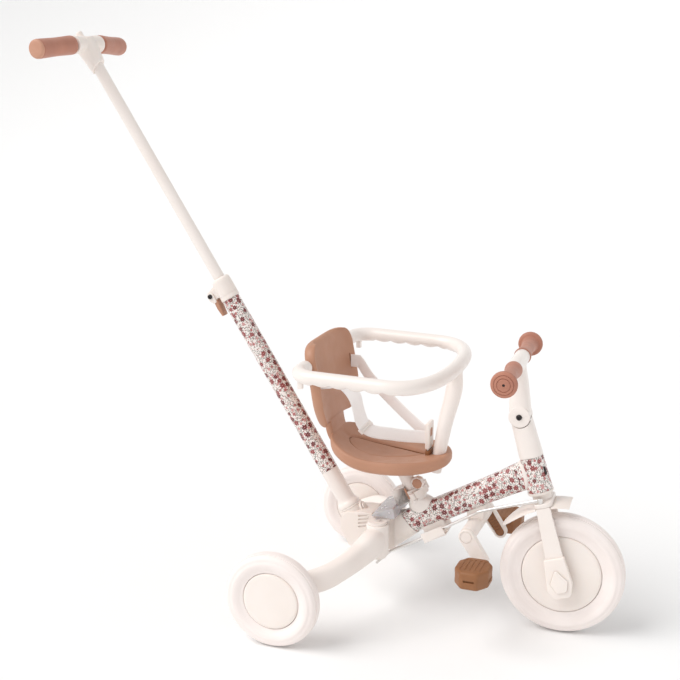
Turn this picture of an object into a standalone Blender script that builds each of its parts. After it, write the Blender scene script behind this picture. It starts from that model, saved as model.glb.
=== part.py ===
"""Convertible tricycle with a steering push pole, seat, safety ring and stowed pedals.

Metres, +Z up. The tricycle rolls towards +X and its left side is +Y.
Pieces are placed from the rear axle: x counts forward from it and z up from the ground.
"""

import math

import bmesh
import bpy
from mathutils import Matrix, Vector

# Fits
GAP = 0.0003                    # between pieces that seat on each other
RUN = 0.0006                    # round a turning or sliding piece

# Wheels
WHEELBASE = 0.458
REAR_TRACK = 0.463
FRONT_RADIUS = 0.110
FRONT_HALF_WIDTH = 0.0195
FRONT_DISC_RADIUS = 0.0705
REAR_RADIUS = 0.0855
REAR_HALF_WIDTH = 0.0170
REAR_DISC_RADIUS = 0.0515
TREAD_HALF = 0.0070             # flat band that meets the ground
TREAD_STEP = 0.0010             # the band stands this proud of the shoulders
TYRE_BULGE = 0.0155             # radial half height of the round sidewall
WHEEL_SIDES = 24
AXLE_RADIUS = 0.0040
AXLE_HEAD_RADIUS = 0.0070
HUB_BOSS_RADIUS = 0.0110

# Steering head, measured along the steering axis from the front axle
HEAD_LEAN = math.radians(16.8)
PARKED_STEER = math.radians(4.0)
HEAD_BOTTOM = 0.1560
HEAD_TOP = 0.2185
HEAD_RADIUS_LOW = 0.0225
HEAD_RADIUS_HIGH = 0.0207
HEAD_BORE = 0.0160
CUP_HEIGHT = 0.0050
STEERER_RADIUS = 0.0125
CROWN_BOTTOM = 0.1310
CROWN_THICKNESS = 0.0080
CROWN_BACK = 0.0125
CROWN_FRONT = 0.0190
CROWN_BOSS_RADIUS = 0.0165
BLADE_INNER = 0.0270
BLADE_THICKNESS = 0.0055
BLADE_FOOT = 0.0180             # lower edge of the blade beneath the axle
COVER_TOP = 0.0390
COVER_WALL = 0.0026
COVER_FOOT = 0.0345
ROD_ARM = 0.0270                # steering axis to the link rod's pin
PIN_RADIUS = 0.0025
GUARD_RADIUS = 0.1345
GUARD_THICKNESS = 0.0030
GUARD_HALF_WIDTH = 0.0330
GUARD_CROWN = 0.0040            # rise of the guard's middle over its edges
GUARD_FRONT = math.radians(69.0)
GUARD_REAR = math.radians(127.0)

# Stem and handlebar, in the same measure
STEM_BOLT_HEIGHT = 0.2945
STEM_BOLT_RADIUS = 0.0030
STEM_HALF_WIDTH = 0.0170
STEM_HALF_DEPTH = 0.0190
TONGUE_HALF_WIDTH = 0.0085
BAR_TILT = math.radians(12.0)
BAR_RISE = 0.0930
BAR_HUB_RADIUS = 0.0138
BAR_HUB_HALF = 0.0475
BAR_RADIUS = 0.0095
BAR_HALF = 0.1560
GRIP_RADIUS = 0.0150
GRIP_WAIST = 0.0123
FLANGE_RADIUS = 0.0225
FLANGE_THICKNESS = 0.0110

# Main tube
TUBE_SLOPE = math.radians(29.2)
TUBE_START_X = 0.1580
TUBE_START_Z = 0.1560
TUBE_INSET = 0.0060             # the tube's end lies this far up its own axis
TUBE_HALF_HEIGHT = 0.0225
TUBE_HALF_WIDTH = 0.0172
TUBE_HEAD_HALF_HEIGHT = 0.0275
LUG_LENGTH = 0.0070
LUG_STEP = 0.0008

# Rear housing
PLATE_LOW = 0.1105
PLATE_THICKNESS = 0.0050
PLATE_HIGH = 0.1805             # upper face of the upper plate
BODY_HALF_WIDTH = 0.0265
WEB_HALF_WIDTH = 0.0150
BODY_FRONT = 0.1100
HOUSING_FRONT = 0.1500
NOSE_HALF_WIDTH = 0.0185
NOSE_WALL = 0.0012
NOSE_SEAM = 0.3440              # x + z along the slanting seam over the main tube
BUTTON_TRAVEL = 0.0025
BUTTON_BACK = 0.1170
BUTTON_FRONT = 0.1600
BUTTON_HALF_WIDTH = 0.0440
BUTTON_WALL = 0.0040
BUTTON_TOP_BACK = 0.1945
BUTTON_TOP_FRONT = 0.2045

# Rear legs
LEG_PIVOT_X = 0.1300
LEG_PIVOT_Y = 0.0520
LEG_BOLT_RADIUS = 0.0050
LEG_BOLT_HEAD = 0.0085
KNUCKLE_RADIUS = 0.0205
LOBE_RADIUS = 0.0160
LEG_END_Y = 0.2035
LEG_END_HALF = 0.0080
LEG_END_RADIUS = 0.0165

# Push pole, measured up the pole from its socket's rim
POLE_LEAN = math.radians(32.0)
SOCKET_X = 0.0592
SOCKET_Z = 0.1770
SOCKET_RADIUS = 0.0230
SWIVEL_RADIUS = 0.0175
SWIVEL_LENGTH = 0.0580
SHAFT_RADIUS = 0.0070
CRANK_DEPTH = 0.0985            # rim to the swivel's lower arm
FLANGE_HEIGHT = 0.0035
POLE_RADIUS = 0.0165
SPIGOT_RADIUS = 0.0125
SPIGOT_DEPTH = 0.0500
SLEEVE_TOP = 0.0810
PRINT_TOP = 0.4480
COLLAR_TOP = 0.4915
COLLAR_RADIUS = 0.0182
COLLAR_BOLT_HEIGHT = 0.4700
COLLAR_BOLT_BACK = 0.0310
LEVER_LENGTH = 0.0450
LEVER_HALF_WIDTH = 0.0110
UPPER_RADIUS = 0.0107
UPPER_OVERLAP = 0.0800
HANDLE_HEIGHT = 0.9870
HANDLE_HALF = 0.1430
HANDLE_SWEEP = 0.0125
HANDLE_DROP = 0.0060
HANDLE_HUB_HALF = 0.0430
HANDLE_GRIP_RADIUS = 0.0172
HANDLE_BAR_RADIUS = 0.0100
SNAP_RADIUS = 0.0048
SNAP_DEPTH = 0.0093             # snap button beneath the rim

# Seat
POST_PLACE = 0.0545             # along the main tube's axis
POST_RADIUS = 0.0130
POST_RISE = 0.0560              # over the tube's upper side
POST_DEPTH = 0.0200             # inside the tube
SEAT_DROP = 0.0100              # travel of the post under its set height
CLAMP_HEIGHT = 0.0330
CLAMP_WALL = 0.0058
LEVER_LOW = 0.0160
LEVER_HIGH = 0.0285
SEAT_REAR = 0.0300
SEAT_NOSE = 0.2490
SEAT_MIDDLE = 0.1300
SEAT_HALF_WIDTH = 0.0845
SEAT_RIM_LOW = 0.2820
SEAT_RIM_HIGH = 0.3020
SEAT_BELLY = 0.2600
RING_HEIGHT = 0.4700
BACK_FOOT_X = 0.0260
BACK_FOOT_Z = 0.3490
BACK_HEIGHT = RING_HEIGHT + 0.0380 - BACK_FOOT_Z
BACK_LEAN = 0.0250              # the top stands this far behind the foot
BACK_HALF_WIDTH = 0.0980
BACK_THICKNESS = 0.0170
BACK_WRAP = 0.0230
STRUT_HALF_WIDTH = 0.0290
STRUT_THICKNESS = 0.0130

# Safety ring
RING_REAR = 0.0240
RING_STRAIGHT_END = SEAT_NOSE - 0.0790
RING_FRONT = SEAT_NOSE + 0.0060
RING_HALF_WIDTH = 0.1640
RING_RADIUS = 0.0128
RING_CORNER = 0.0380
RING_END_Y = 0.1030
SCALLOP_PITCH = 0.0310
SCALLOP_DEPTH = 0.0022
RING_LEG_FOOT_X = SEAT_NOSE - 0.0215    # the leg's middle at the seat's rim
RING_LEG_RADIUS = 0.0112
RING_LEG_BELOW = 0.0400
RING_SLIDE_LEAN = math.radians(11.0)
HOOK_HALF_LENGTH = 0.0100
STRAP_HALF_WIDTH = 0.0120
STRAP_THICKNESS = 0.0020
STRAP_SLOT_Y = 0.0800
STRAP_SLOT_Z = RING_HEIGHT - 0.0450

# Pedals, stowed under the main tube
BOSS_X = 0.3006
BOSS_Z = 0.1820
BOSS_RADIUS = 0.0140
BRACKET_HALF_WIDTH = 0.0105
STUB_RADIUS = 0.0075
STUB_LENGTH = 0.0400
CRANK_Y = 0.0640
CRANK_LENGTH = 0.0500
CRANK_ANGLE = math.radians(-55.5)
CRANK_THICKNESS = 0.0120
PEDAL_INNER = 0.0950
PEDAL_WIDTH = 0.0680
PEDAL_LENGTH = 0.0600
PEDAL_HEIGHT = 0.0340
SPINDLE_RADIUS = 0.0045

ROUND = 16                      # sides of a round piece that shows
MEDIUM = 12
SMALL = 8                       # sides of a pin, bolt or nut

for leftover in list(bpy.data.objects):
    bpy.data.objects.remove(leftover, do_unlink=True)


def material(name, colour, roughness, metallic=0.0):
    made = bpy.data.materials.new(name)
    made.use_nodes = True
    shader = made.node_tree.nodes["Principled BSDF"]
    shader.inputs["Base Color"].default_value = (*colour, 1.0)
    shader.inputs["Roughness"].default_value = roughness
    shader.inputs["Metallic"].default_value = metallic
    return made


CREAM_PAINT = material("cream_paint", (0.87, 0.83, 0.79), 0.35)
CREAM_PLASTIC = material("cream_plastic", (0.86, 0.81, 0.76), 0.50)
CREAM_FOAM = material("cream_foam", (0.90, 0.85, 0.83), 0.60)
TAN_PLASTIC = material("tan_plastic", (0.52, 0.27, 0.17), 0.50)
TAN_GRIP = material("tan_grip", (0.46, 0.20, 0.14), 0.60)
TAN_PEDAL = material("tan_pedal", (0.55, 0.28, 0.13), 0.55)
PRINTED_PAINT = material("printed_paint", (0.74, 0.62, 0.58), 0.35)
GREY_LENS = material("grey_lens", (0.58, 0.55, 0.57), 0.25)
WEBBING = material("webbing", (0.88, 0.81, 0.78), 0.80)
STEEL = material("steel", (0.60, 0.60, 0.62), 0.35, 1.0)
BLACK_STEEL = material("black_steel", (0.03, 0.03, 0.03), 0.40, 0.6)


def empty(name, parent=None, location=(0, 0, 0), rotation=(0, 0, 0)):
    """An axis or a group: it carries pieces and is none itself."""
    made = bpy.data.objects.new(name, None)
    made.empty_display_size = 0.03
    made.location = location
    made.rotation_euler = rotation
    made.parent = parent
    bpy.context.collection.objects.link(made)
    return made


def place(name, bm, finish, parent, location=(0, 0, 0), smooth=40.0):
    """Turns a bmesh into a named object under its parent."""
    bm.normal_update()
    bmesh.ops.recalc_face_normals(bm, faces=bm.faces)
    mesh = bpy.data.meshes.new(name)
    bm.to_mesh(mesh)
    bm.free()
    mesh.materials.append(finish)
    mesh.shade_smooth()
    mesh.set_sharp_from_angle(angle=math.radians(smooth))
    made = bpy.data.objects.new(name, mesh)
    made.location = location
    made.parent = parent
    bpy.context.collection.objects.link(made)
    return made


def combine(target, name, bm, operation, parent=None, location=(0, 0, 0)):
    """Adds a hidden shape that a Boolean on the target joins or cuts away."""
    tool = place(name, bm, target.data.materials[0], parent or target.parent, location)
    tool.hide_render = True
    tool.display_type = "WIRE"
    modifier = target.modifiers.new(name, "BOOLEAN")
    modifier.operation = operation
    modifier.object = tool
    return tool


def cut(target, name, bm, parent=None, location=(0, 0, 0)):
    return combine(target, name, bm, "DIFFERENCE", parent, location)


def join(target, name, bm, parent=None, location=(0, 0, 0)):
    return combine(target, name, bm, "UNION", parent, location)


def bevel(target, width, segments=2, angle=40.0):
    modifier = target.modifiers.new("rounded_edges", "BEVEL")
    modifier.width = width
    modifier.segments = segments
    modifier.limit_method = "ANGLE"
    modifier.angle_limit = math.radians(angle)


def turned(profile, sides, ring=False, along="Z"):
    """Spins (radius, height) points into a solid with a flat facet on each axis."""
    bm = bmesh.new()
    start = math.pi / sides
    reach = 1.0 / math.cos(start)
    verts = [bm.verts.new((r * reach * math.cos(start), r * reach * math.sin(start), h))
             for r, h in profile]
    edges = [bm.edges.new(pair) for pair in zip(verts, verts[1:])]
    if ring:
        edges.append(bm.edges.new((verts[-1], verts[0])))
    bmesh.ops.spin(bm, geom=verts + edges, cent=(0, 0, 0), axis=(0, 0, 1), dvec=(0, 0, 0),
                   angle=2 * math.pi, steps=sides, use_merge=True, use_duplicate=False)
    bmesh.ops.remove_doubles(bm, verts=bm.verts, dist=1e-6)
    centres = [v for v in bm.verts if v.co.xy.length < 1e-6]
    bmesh.ops.dissolve_verts(bm, verts=centres)
    if along == "Y":
        bm.transform(Matrix.Rotation(-math.pi / 2, 4, "X"))
    if along == "X":
        bm.transform(Matrix.Rotation(math.pi / 2, 4, "Y"))
    return bm


def drum(radius, low, high, sides=ROUND, along="Z", edge=0.0):
    """A plain cylinder between two heights, with an optional small chamfer."""
    profile = [(0, low), (radius - edge, low), (radius, low + edge), (radius, high - edge),
               (radius - edge, high), (0, high)]
    if edge == 0.0:
        profile = [(0, low), (radius, low), (radius, high), (0, high)]
    return turned(profile, sides, along=along)


def rod(start, end, radius, sides=SMALL):
    """A straight round bar between two points."""
    start = Vector(start)
    span = Vector(end) - start
    bm = drum(radius, 0, span.length, sides)
    turn = span.to_track_quat("Z", "X").to_matrix().to_4x4()
    bm.transform(Matrix.Translation(start) @ turn)
    return bm


def rounded(corners, radius, steps=2):
    """A closed outline with each corner cut to an arc."""
    outline = []
    count = len(corners)
    for index, corner in enumerate(corners):
        here = Vector(corner)
        before = Vector(corners[index - 1]) - here
        after = Vector(corners[(index + 1) % count]) - here
        wanted = radius[index] if isinstance(radius, (list, tuple)) else radius
        half = before.angle(after) / 2
        reach = min(wanted / math.tan(half), 0.49 * before.length, 0.49 * after.length)
        bend = reach * math.tan(half)
        middle = here + (before.normalized() + after.normalized()).normalized() * (
            bend / math.sin(half))
        first = here + before.normalized() * reach - middle
        last = here + after.normalized() * reach - middle
        sweep_angle = math.atan2(first.cross(last), first.dot(last))
        for step in range(steps + 1):
            turn = sweep_angle * step / steps
            c, s = math.cos(turn), math.sin(turn)
            outline.append((middle.x + first.x * c - first.y * s,
                            middle.y + first.x * s + first.y * c))
    return outline


def ellipse(half_x, half_y, sides=ROUND, power=2.0):
    """A superellipse: power 2 is an ellipse and more is squarer."""
    outline = []
    for k in range(sides):
        turn = 2 * math.pi * (k + 0.5) / sides
        c, s = math.cos(turn), math.sin(turn)
        outline.append((half_x * math.copysign(abs(c) ** (2 / power), c),
                        half_y * math.copysign(abs(s) ** (2 / power), s)))
    return outline


def skin(loops):
    """A closed solid through loops of equal count, with capped ends."""
    bm = bmesh.new()
    rows = [[bm.verts.new(point) for point in loop] for loop in loops]
    for low, high in zip(rows, rows[1:]):
        for k in range(len(low)):
            n = (k + 1) % len(low)
            bm.faces.new((low[k], low[n], high[n], high[k]))
    bm.faces.new(rows[0][::-1])
    bm.faces.new(rows[-1])
    return bm


def prism(outline, low, high, along="Y"):
    """Extrudes an outline: (x, z) along Y, (x, y) along Z or (y, z) along X."""
    if along == "Y":
        return skin([[(a, d, b) for a, b in outline] for d in (low, high)])
    if along == "Z":
        return skin([[(a, b, d) for a, b in outline] for d in (low, high)])
    return skin([[(d, a, b) for a, b in outline] for d in (low, high)])


def box(low, high):
    (x0, y0, z0), (x1, y1, z1) = low, high
    return prism([(x0, y0), (x1, y0), (x1, y1), (x0, y1)], z0, z1, "Z")


def sweep(path, section, up=(0, 0, 1)):
    """Carries a section along a path: section(k) gives (side, up) points at station k."""
    up = Vector(up)
    path = [Vector(point) for point in path]
    loops = []
    for k, point in enumerate(path):
        tangent = (path[min(k + 1, len(path) - 1)] - path[max(k - 1, 0)]).normalized()
        side = tangent.cross(up).normalized()
        rise = side.cross(tangent)
        loops.append([point + side * a + rise * b for a, b in section(k)])
    return skin(loops)


def smooth_path(points, steps):
    """A Catmull-Rom curve through points, with some stations between each two."""
    points = [Vector(point) for point in points]
    padded = [2 * points[0] - points[1]] + points + [2 * points[-1] - points[-2]]
    path = []
    for a, b, c, d in zip(padded, padded[1:], padded[2:], padded[3:]):
        for k in range(steps):
            t = k / steps
            path.append(0.5 * (2 * b + (c - a) * t + (2 * a - 5 * b + 4 * c - d) * t ** 2
                               + (3 * b - a - 3 * c + d) * t ** 3))
    path.append(points[-1])
    return path


def between(low, high, share):
    return low + (high - low) * share


# The object's middle in plan is its origin, so the rear axle stands behind it
CAMBER = math.asin(math.sin(HEAD_LEAN) * math.sin(PARKED_STEER))
FRONT_AXLE_Z = FRONT_RADIUS * math.cos(CAMBER) + TREAD_HALF * math.sin(CAMBER)
HANDLE_BACK = (SOCKET_X - HANDLE_HEIGHT * math.sin(POLE_LEAN) - HANDLE_SWEEP
               - HANDLE_GRIP_RADIUS)
MIDDLE_X = (WHEELBASE + FRONT_RADIUS + HANDLE_BACK) / 2
SIDES = (("left", 1), ("right", -1))

TRICYCLE = empty("tricycle", location=(-MIDDLE_X, 0, 0))
HEAD_AXIS = empty("head_axis", TRICYCLE, (WHEELBASE, 0, FRONT_AXLE_Z), (0, -HEAD_LEAN, 0))
STEER_AXIS = empty("steering_axis", HEAD_AXIS, rotation=(0, 0, PARKED_STEER))
FRONT_WHEEL_AXIS = empty("front_wheel_axis", STEER_AXIS, rotation=(0, HEAD_LEAN, 0))
BAR_AXIS = empty("handlebar_tilt_axis", STEER_AXIS, (0, 0, STEM_BOLT_HEIGHT), (0, BAR_TILT, 0))
TUBE_AXIS = empty("main_tube_axis", TRICYCLE, (TUBE_START_X, 0, TUBE_START_Z),
                  (0, -TUBE_SLOPE, 0))
POST_AXIS = empty("seat_post_axis", TUBE_AXIS, (POST_PLACE, 0, TUBE_HALF_HEIGHT))
POLE_AXIS = empty("pole_axis", TRICYCLE, (SOCKET_X, 0, SOCKET_Z), (0, -POLE_LEAN, 0))
HANDLE_AXIS = empty("handle_axis", POLE_AXIS, (0, 0, HANDLE_HEIGHT), (0, POLE_LEAN, 0))
RING_AXIS = empty("ring_slide_axis", TRICYCLE, (RING_LEG_FOOT_X, 0, SEAT_RIM_HIGH),
                  (0, RING_SLIDE_LEAN, 0))


# Wheels

def tyre_bm(radius, half_width, disc_radius):
    """A rounded tyre: raised tread, bulging sidewall and a hollow ring beside the disc."""
    seat = half_width * 0.66
    bulge_radius = radius - TYRE_BULGE
    side = [(radius, TREAD_HALF), (radius - TREAD_STEP, TREAD_HALF + TREAD_STEP)]
    for angle in (42, -30):
        turn = math.radians(angle)
        side.append((bulge_radius + (TYRE_BULGE - TREAD_STEP) * math.sin(turn),
                     TREAD_HALF + (half_width - TREAD_HALF) * math.cos(turn)))
    side += [(disc_radius + GAP, seat)]
    mirrored = [(r, -h) for r, h in reversed(side)]
    return turned(mirrored + side, WHEEL_SIDES, ring=True, along="Y")


def disc_profile(half_width, disc_radius):
    """The disc's half outline from its boss to its rounded edge."""
    face = half_width * 0.84
    return [(HUB_BOSS_RADIUS, face), (disc_radius * 0.94, face - 0.0006),
            (disc_radius, half_width * 0.60)]


def front_wheel():
    place("front_tyre", tyre_bm(FRONT_RADIUS, FRONT_HALF_WIDTH, FRONT_DISC_RADIUS),
          CREAM_FOAM, FRONT_WHEEL_AXIS)
    bore = AXLE_RADIUS + RUN
    boss_end = BLADE_INNER - RUN
    half = [(bore, boss_end), (HUB_BOSS_RADIUS, boss_end)]
    half += disc_profile(FRONT_HALF_WIDTH, FRONT_DISC_RADIUS)
    mirrored = [(r, -h) for r, h in reversed(half)]
    place("front_hub", turned(half + mirrored, WHEEL_SIDES, ring=True, along="Y"),
          CREAM_PLASTIC, FRONT_WHEEL_AXIS)
    seat = BLADE_INNER + BLADE_THICKNESS + GAP
    end = seat + 0.0030
    half = [(AXLE_RADIUS, seat), (AXLE_HEAD_RADIUS, seat), (AXLE_HEAD_RADIUS, end), (0, end)]
    mirrored = [(r, -h) for r, h in reversed(half)]
    place("front_axle", turned(mirrored + half, SMALL, along="Y"), STEEL, STEER_AXIS)


def rear_wheel(side, sign):
    axis = empty("rear_wheel_axis_" + side, TRICYCLE, (0, sign * REAR_TRACK / 2, REAR_RADIUS))
    place("rear_tyre_" + side, tyre_bm(REAR_RADIUS, REAR_HALF_WIDTH, REAR_DISC_RADIUS),
          CREAM_FOAM, axis)
    bore = AXLE_RADIUS + RUN
    leg_face = REAR_TRACK / 2 - LEG_END_Y - LEG_END_HALF
    boss_end = leg_face - RUN
    outer = disc_profile(REAR_HALF_WIDTH, REAR_DISC_RADIUS)
    inner = [(r, -h) for r, h in reversed(outer)]
    face = outer[0][1]
    floor = face - 0.0040
    profile = [(0, face)] + outer[1:] + inner
    profile += [(HUB_BOSS_RADIUS, -boss_end), (bore, -boss_end), (bore, floor), (0, floor)]
    place("rear_hub_" + side,
          turned([(r, sign * h) for r, h in profile], WHEEL_SIDES, along="Y"),
          CREAM_PLASTIC, axis)
    head = leg_face + 2 * LEG_END_HALF + GAP
    profile = [(0, floor - RUN), (AXLE_RADIUS, floor - RUN), (AXLE_RADIUS, -head),
               (AXLE_HEAD_RADIUS, -head), (AXLE_HEAD_RADIUS, -head - 0.003), (0, -head - 0.003)]
    place("rear_axle_" + side, turned([(r, sign * h) for r, h in profile], SMALL, along="Y"),
          STEEL, axis)


# Fork, crown and mudguard

def blade_outline(grow=0.0, top=CROWN_BOTTOM - GAP):
    """The fork blade: narrow under the crown and wider down to a round dropout."""
    corners = [(-0.0095 - grow, top), (-0.0165 - grow, 0.035), (-0.0165 - grow, -BLADE_FOOT - grow),
               (0.0150 + grow, -BLADE_FOOT - grow), (0.0148 + grow, 0.060), (0.0145 + grow, top)]
    return rounded(corners, [0.0005, 0.020, 0.014, 0.014, 0.020, 0.0005])


def cover_outline():
    """The plastic boot over the dropout, flared towards its round foot."""
    corners = [(-0.0188, COVER_TOP), (-0.0262, -0.0170), (-0.0190, -COVER_FOOT),
               (0.0120, -COVER_FOOT), (0.0200, -0.0110), (0.0172, COVER_TOP)]
    return rounded(corners, [0.002, 0.012, 0.012, 0.012, 0.012, 0.002])


def cap_outline():
    """The raised axle cap: a pentagon with its peak up the blade."""
    corners = [(-0.0030, 0.0215), (-0.0175, -0.0040), (-0.0110, -0.0225),
               (0.0080, -0.0225), (0.0140, -0.0040)]
    return rounded(corners, [0.004, 0.004, 0.006, 0.006, 0.004])


def fork():
    outer = BLADE_INNER + BLADE_THICKNESS
    crown_top = CROWN_BOTTOM + CROWN_THICKNESS
    corners = [(-CROWN_BACK, -outer), (CROWN_FRONT, -outer), (CROWN_FRONT, outer),
               (-CROWN_BACK, outer)]
    crown = place("fork_crown", prism(rounded(corners, 0.009), CROWN_BOTTOM, crown_top, "Z"),
                  CREAM_PAINT, STEER_AXIS)
    boss_top = HEAD_BOTTOM - CUP_HEIGHT - RUN
    join(crown, "crown_boss", drum(CROWN_BOSS_RADIUS, crown_top - 0.002, boss_top))
    join(crown, "steerer", drum(STEERER_RADIUS, CROWN_BOTTOM + 0.002, HEAD_TOP + 0.0040))
    cut(crown, "rod_pin_hole", drum(PIN_RADIUS + GAP, CROWN_BOTTOM - 0.01, crown_top + 0.01, SMALL),
        location=(0, -ROD_ARM, 0))

    for side, sign in SIDES:
        inside = sign * BLADE_INNER
        outside = sign * outer
        blade = place("fork_blade_" + side, prism(blade_outline(), inside, outside),
                      CREAM_PAINT, STEER_AXIS)
        cut(blade, "dropout_" + side,
            drum(AXLE_RADIUS + GAP, -0.06, 0.06, SMALL, along="Y"))
        shell = outside + sign * (GAP + COVER_WALL + 0.0035)
        cover = place("fork_cover_" + side,
                      prism(cover_outline(), inside + sign * 0.0004, shell),
                      CREAM_PLASTIC, STEER_AXIS)
        join(cover, "axle_cap_" + side,
             prism(cap_outline(), shell - sign * 0.001, shell + sign * 0.0040))
        cut(cover, "cover_pocket_" + side,
            prism(blade_outline(GAP, CROWN_BOTTOM), inside - sign * 0.01, outside + sign * GAP))
        cut(cover, "head_room_" + side,
            rod((0, outside, 0), (0, outside + sign * 0.0045, 0), AXLE_HEAD_RADIUS + GAP))


def mudguard():
    """A short curved guard: square front edge, round rear lobe, held under the crown."""
    steps, across = 8, 4
    loops = []
    for i in range(steps + 1):
        share = i / steps
        angle = between(GUARD_FRONT, GUARD_REAR, share)
        lobe = max(0.0, (share - 0.62) / 0.38)
        half = GUARD_HALF_WIDTH * between(0.93, 1.0, min(1.0, share / 0.3))
        half *= math.sqrt(1 - (0.93 * lobe) ** 2)
        outer, inner = [], []
        for j in range(across + 1):
            y = half * (2 * j / across - 1)
            radius = GUARD_RADIUS - GUARD_CROWN * (y / GUARD_HALF_WIDTH) ** 2
            for row, reach in ((outer, radius), (inner, radius - GUARD_THICKNESS)):
                row.append((reach * math.cos(angle), y, reach * math.sin(angle)))
        loops.append(outer + inner[::-1])
    guard = place("mudguard", skin(loops), CREAM_PLASTIC, STEER_AXIS, smooth=50)
    for side, sign in SIDES:
        near, far = sorted((sign * (BLADE_INNER - RUN), sign * (GUARD_HALF_WIDTH + 0.01)))
        cut(guard, "guard_slot_" + side,
            box((-0.0105 - RUN, near, 0.10), (0.0150 + RUN, far, 0.16)))
    cut(guard, "guard_seat", box((-0.05, -0.05, CROWN_BOTTOM - GAP), (0.05, 0.05, 0.20)))


def head():
    """The head tube turns round the steerer on a cup with a long bush."""
    profile = [(HEAD_BORE, HEAD_BOTTOM), (HEAD_RADIUS_LOW, HEAD_BOTTOM),
               (HEAD_RADIUS_HIGH, HEAD_TOP), (HEAD_BORE, HEAD_TOP)]
    place("head_tube", turned(profile, ROUND, ring=True), PRINTED_PAINT, HEAD_AXIS)
    bore = STEERER_RADIUS + RUN
    bush = HEAD_BORE - GAP
    low = HEAD_BOTTOM - CUP_HEIGHT
    lip = HEAD_RADIUS_LOW + LUG_STEP
    profile = [(bore, low), (lip - 0.0008, low), (lip, low + 0.0008), (lip, HEAD_BOTTOM - GAP),
               (bush, HEAD_BOTTOM - GAP), (bush, HEAD_TOP), (bore, HEAD_TOP)]
    place("headset_cup", turned(profile, ROUND, ring=True), CREAM_PLASTIC, HEAD_AXIS)


# Main tube

def tube_length():
    """Along the main tube's axis to the steering axis."""
    dx = WHEELBASE - TUBE_START_X
    dz = FRONT_AXLE_Z - TUBE_START_Z
    c, s = math.cos(TUBE_SLOPE), math.sin(TUBE_SLOPE)
    lean = math.tan(HEAD_LEAN)
    return (dx + lean * dz) / (c + lean * s)


def tube_half_height(along):
    """The tube keeps its height and then flares over the last stretch to the head."""
    share = max(0.0, along / tube_length() - 0.6) / 0.4
    return between(TUBE_HALF_HEIGHT, TUBE_HEAD_HALF_HEIGHT, share * share)


def tube_loops(start, end, grow=0.0, steps=5):
    loops = []
    for k in range(steps + 1):
        along = between(start, end, k / steps)
        section = ellipse(TUBE_HALF_WIDTH + grow, tube_half_height(along) + grow, 20, 2.7)
        loops.append([(along, y, z) for y, z in section])
    return loops


def main_tube():
    lug_start = tube_length() - HEAD_RADIUS_LOW - LUG_LENGTH
    tube = place("main_tube", skin(tube_loops(TUBE_INSET, lug_start - GAP)), PRINTED_PAINT,
                 TUBE_AXIS)
    depth = POST_DEPTH + SEAT_DROP + 0.002
    cut(tube, "post_well", drum(POST_RADIUS + RUN, -depth, 0.01), POST_AXIS)
    lug = place("head_lug", skin(tube_loops(lug_start, tube_length(), LUG_STEP, 2)),
                CREAM_PAINT, TUBE_AXIS)
    low, high = HEAD_RADIUS_LOW + GAP, HEAD_RADIUS_HIGH + GAP
    profile = [(0, HEAD_BOTTOM - 0.03), (low, HEAD_BOTTOM - 0.03), (low, HEAD_BOTTOM),
               (high, HEAD_TOP), (high, HEAD_TOP + 0.03), (0, HEAD_TOP + 0.03)]
    cut(lug, "head_clearance", turned(profile, ROUND), HEAD_AXIS)
    cut(lug, "lug_trim", box((0.0, -0.05, 0.05), (0.05, 0.05, 0.35)), HEAD_AXIS)


# Stem and handlebar

def stem():
    """The lower stem: an oval post with a shoulder and a tongue for the lap joint."""
    foot = HEAD_TOP + RUN
    top = STEM_BOLT_HEIGHT
    shoulder = top - 0.0070
    loops = []
    for height, half_x, half_y in ((foot, 0.0208, 0.0195), (foot + 0.020, 0.0205, 0.0185),
                                   (shoulder - 0.016, STEM_HALF_DEPTH + 0.0004, STEM_HALF_WIDTH),
                                   (shoulder, STEM_HALF_DEPTH, STEM_HALF_WIDTH)):
        loops.append([(x, y, height) for x, y in ellipse(half_x, half_y, ROUND, 2.5)])
    post = place("stem_post", skin(loops), CREAM_PAINT, STEER_AXIS)
    reach = STEM_HALF_DEPTH + 0.0012
    cut(post, "lap_shoulder", drum(reach, -0.03, 0.03, along="Y"), location=(0, 0, top))
    tongue = TONGUE_HALF_WIDTH
    join(post, "tongue_neck", box((-0.0125, -tongue + 0.0001, shoulder - 0.020),
                                  (0.0125, tongue - 0.0001, top)))
    join(post, "tongue", drum(0.0170, -tongue, tongue, along="Y"), location=(0, 0, top))
    cut(post, "stem_bolt_room", drum(STEM_BOLT_RADIUS + GAP, -0.03, 0.03, SMALL, along="Y"),
        location=(0, 0, top))
    cut(post, "steerer_well", drum(STEERER_RADIUS + GAP, foot - 0.01, HEAD_TOP + 0.0045))
    seat = STEM_HALF_WIDTH + GAP
    half = [(STEM_BOLT_RADIUS, seat), (0.0052, seat), (0.0045, seat + 0.0022), (0, seat + 0.0022)]
    mirrored = [(r, -h) for r, h in reversed(half)]
    place("stem_bolt", turned(mirrored + half, SMALL, along="Y"), BLACK_STEEL, STEER_AXIS,
          (0, 0, top))


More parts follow.
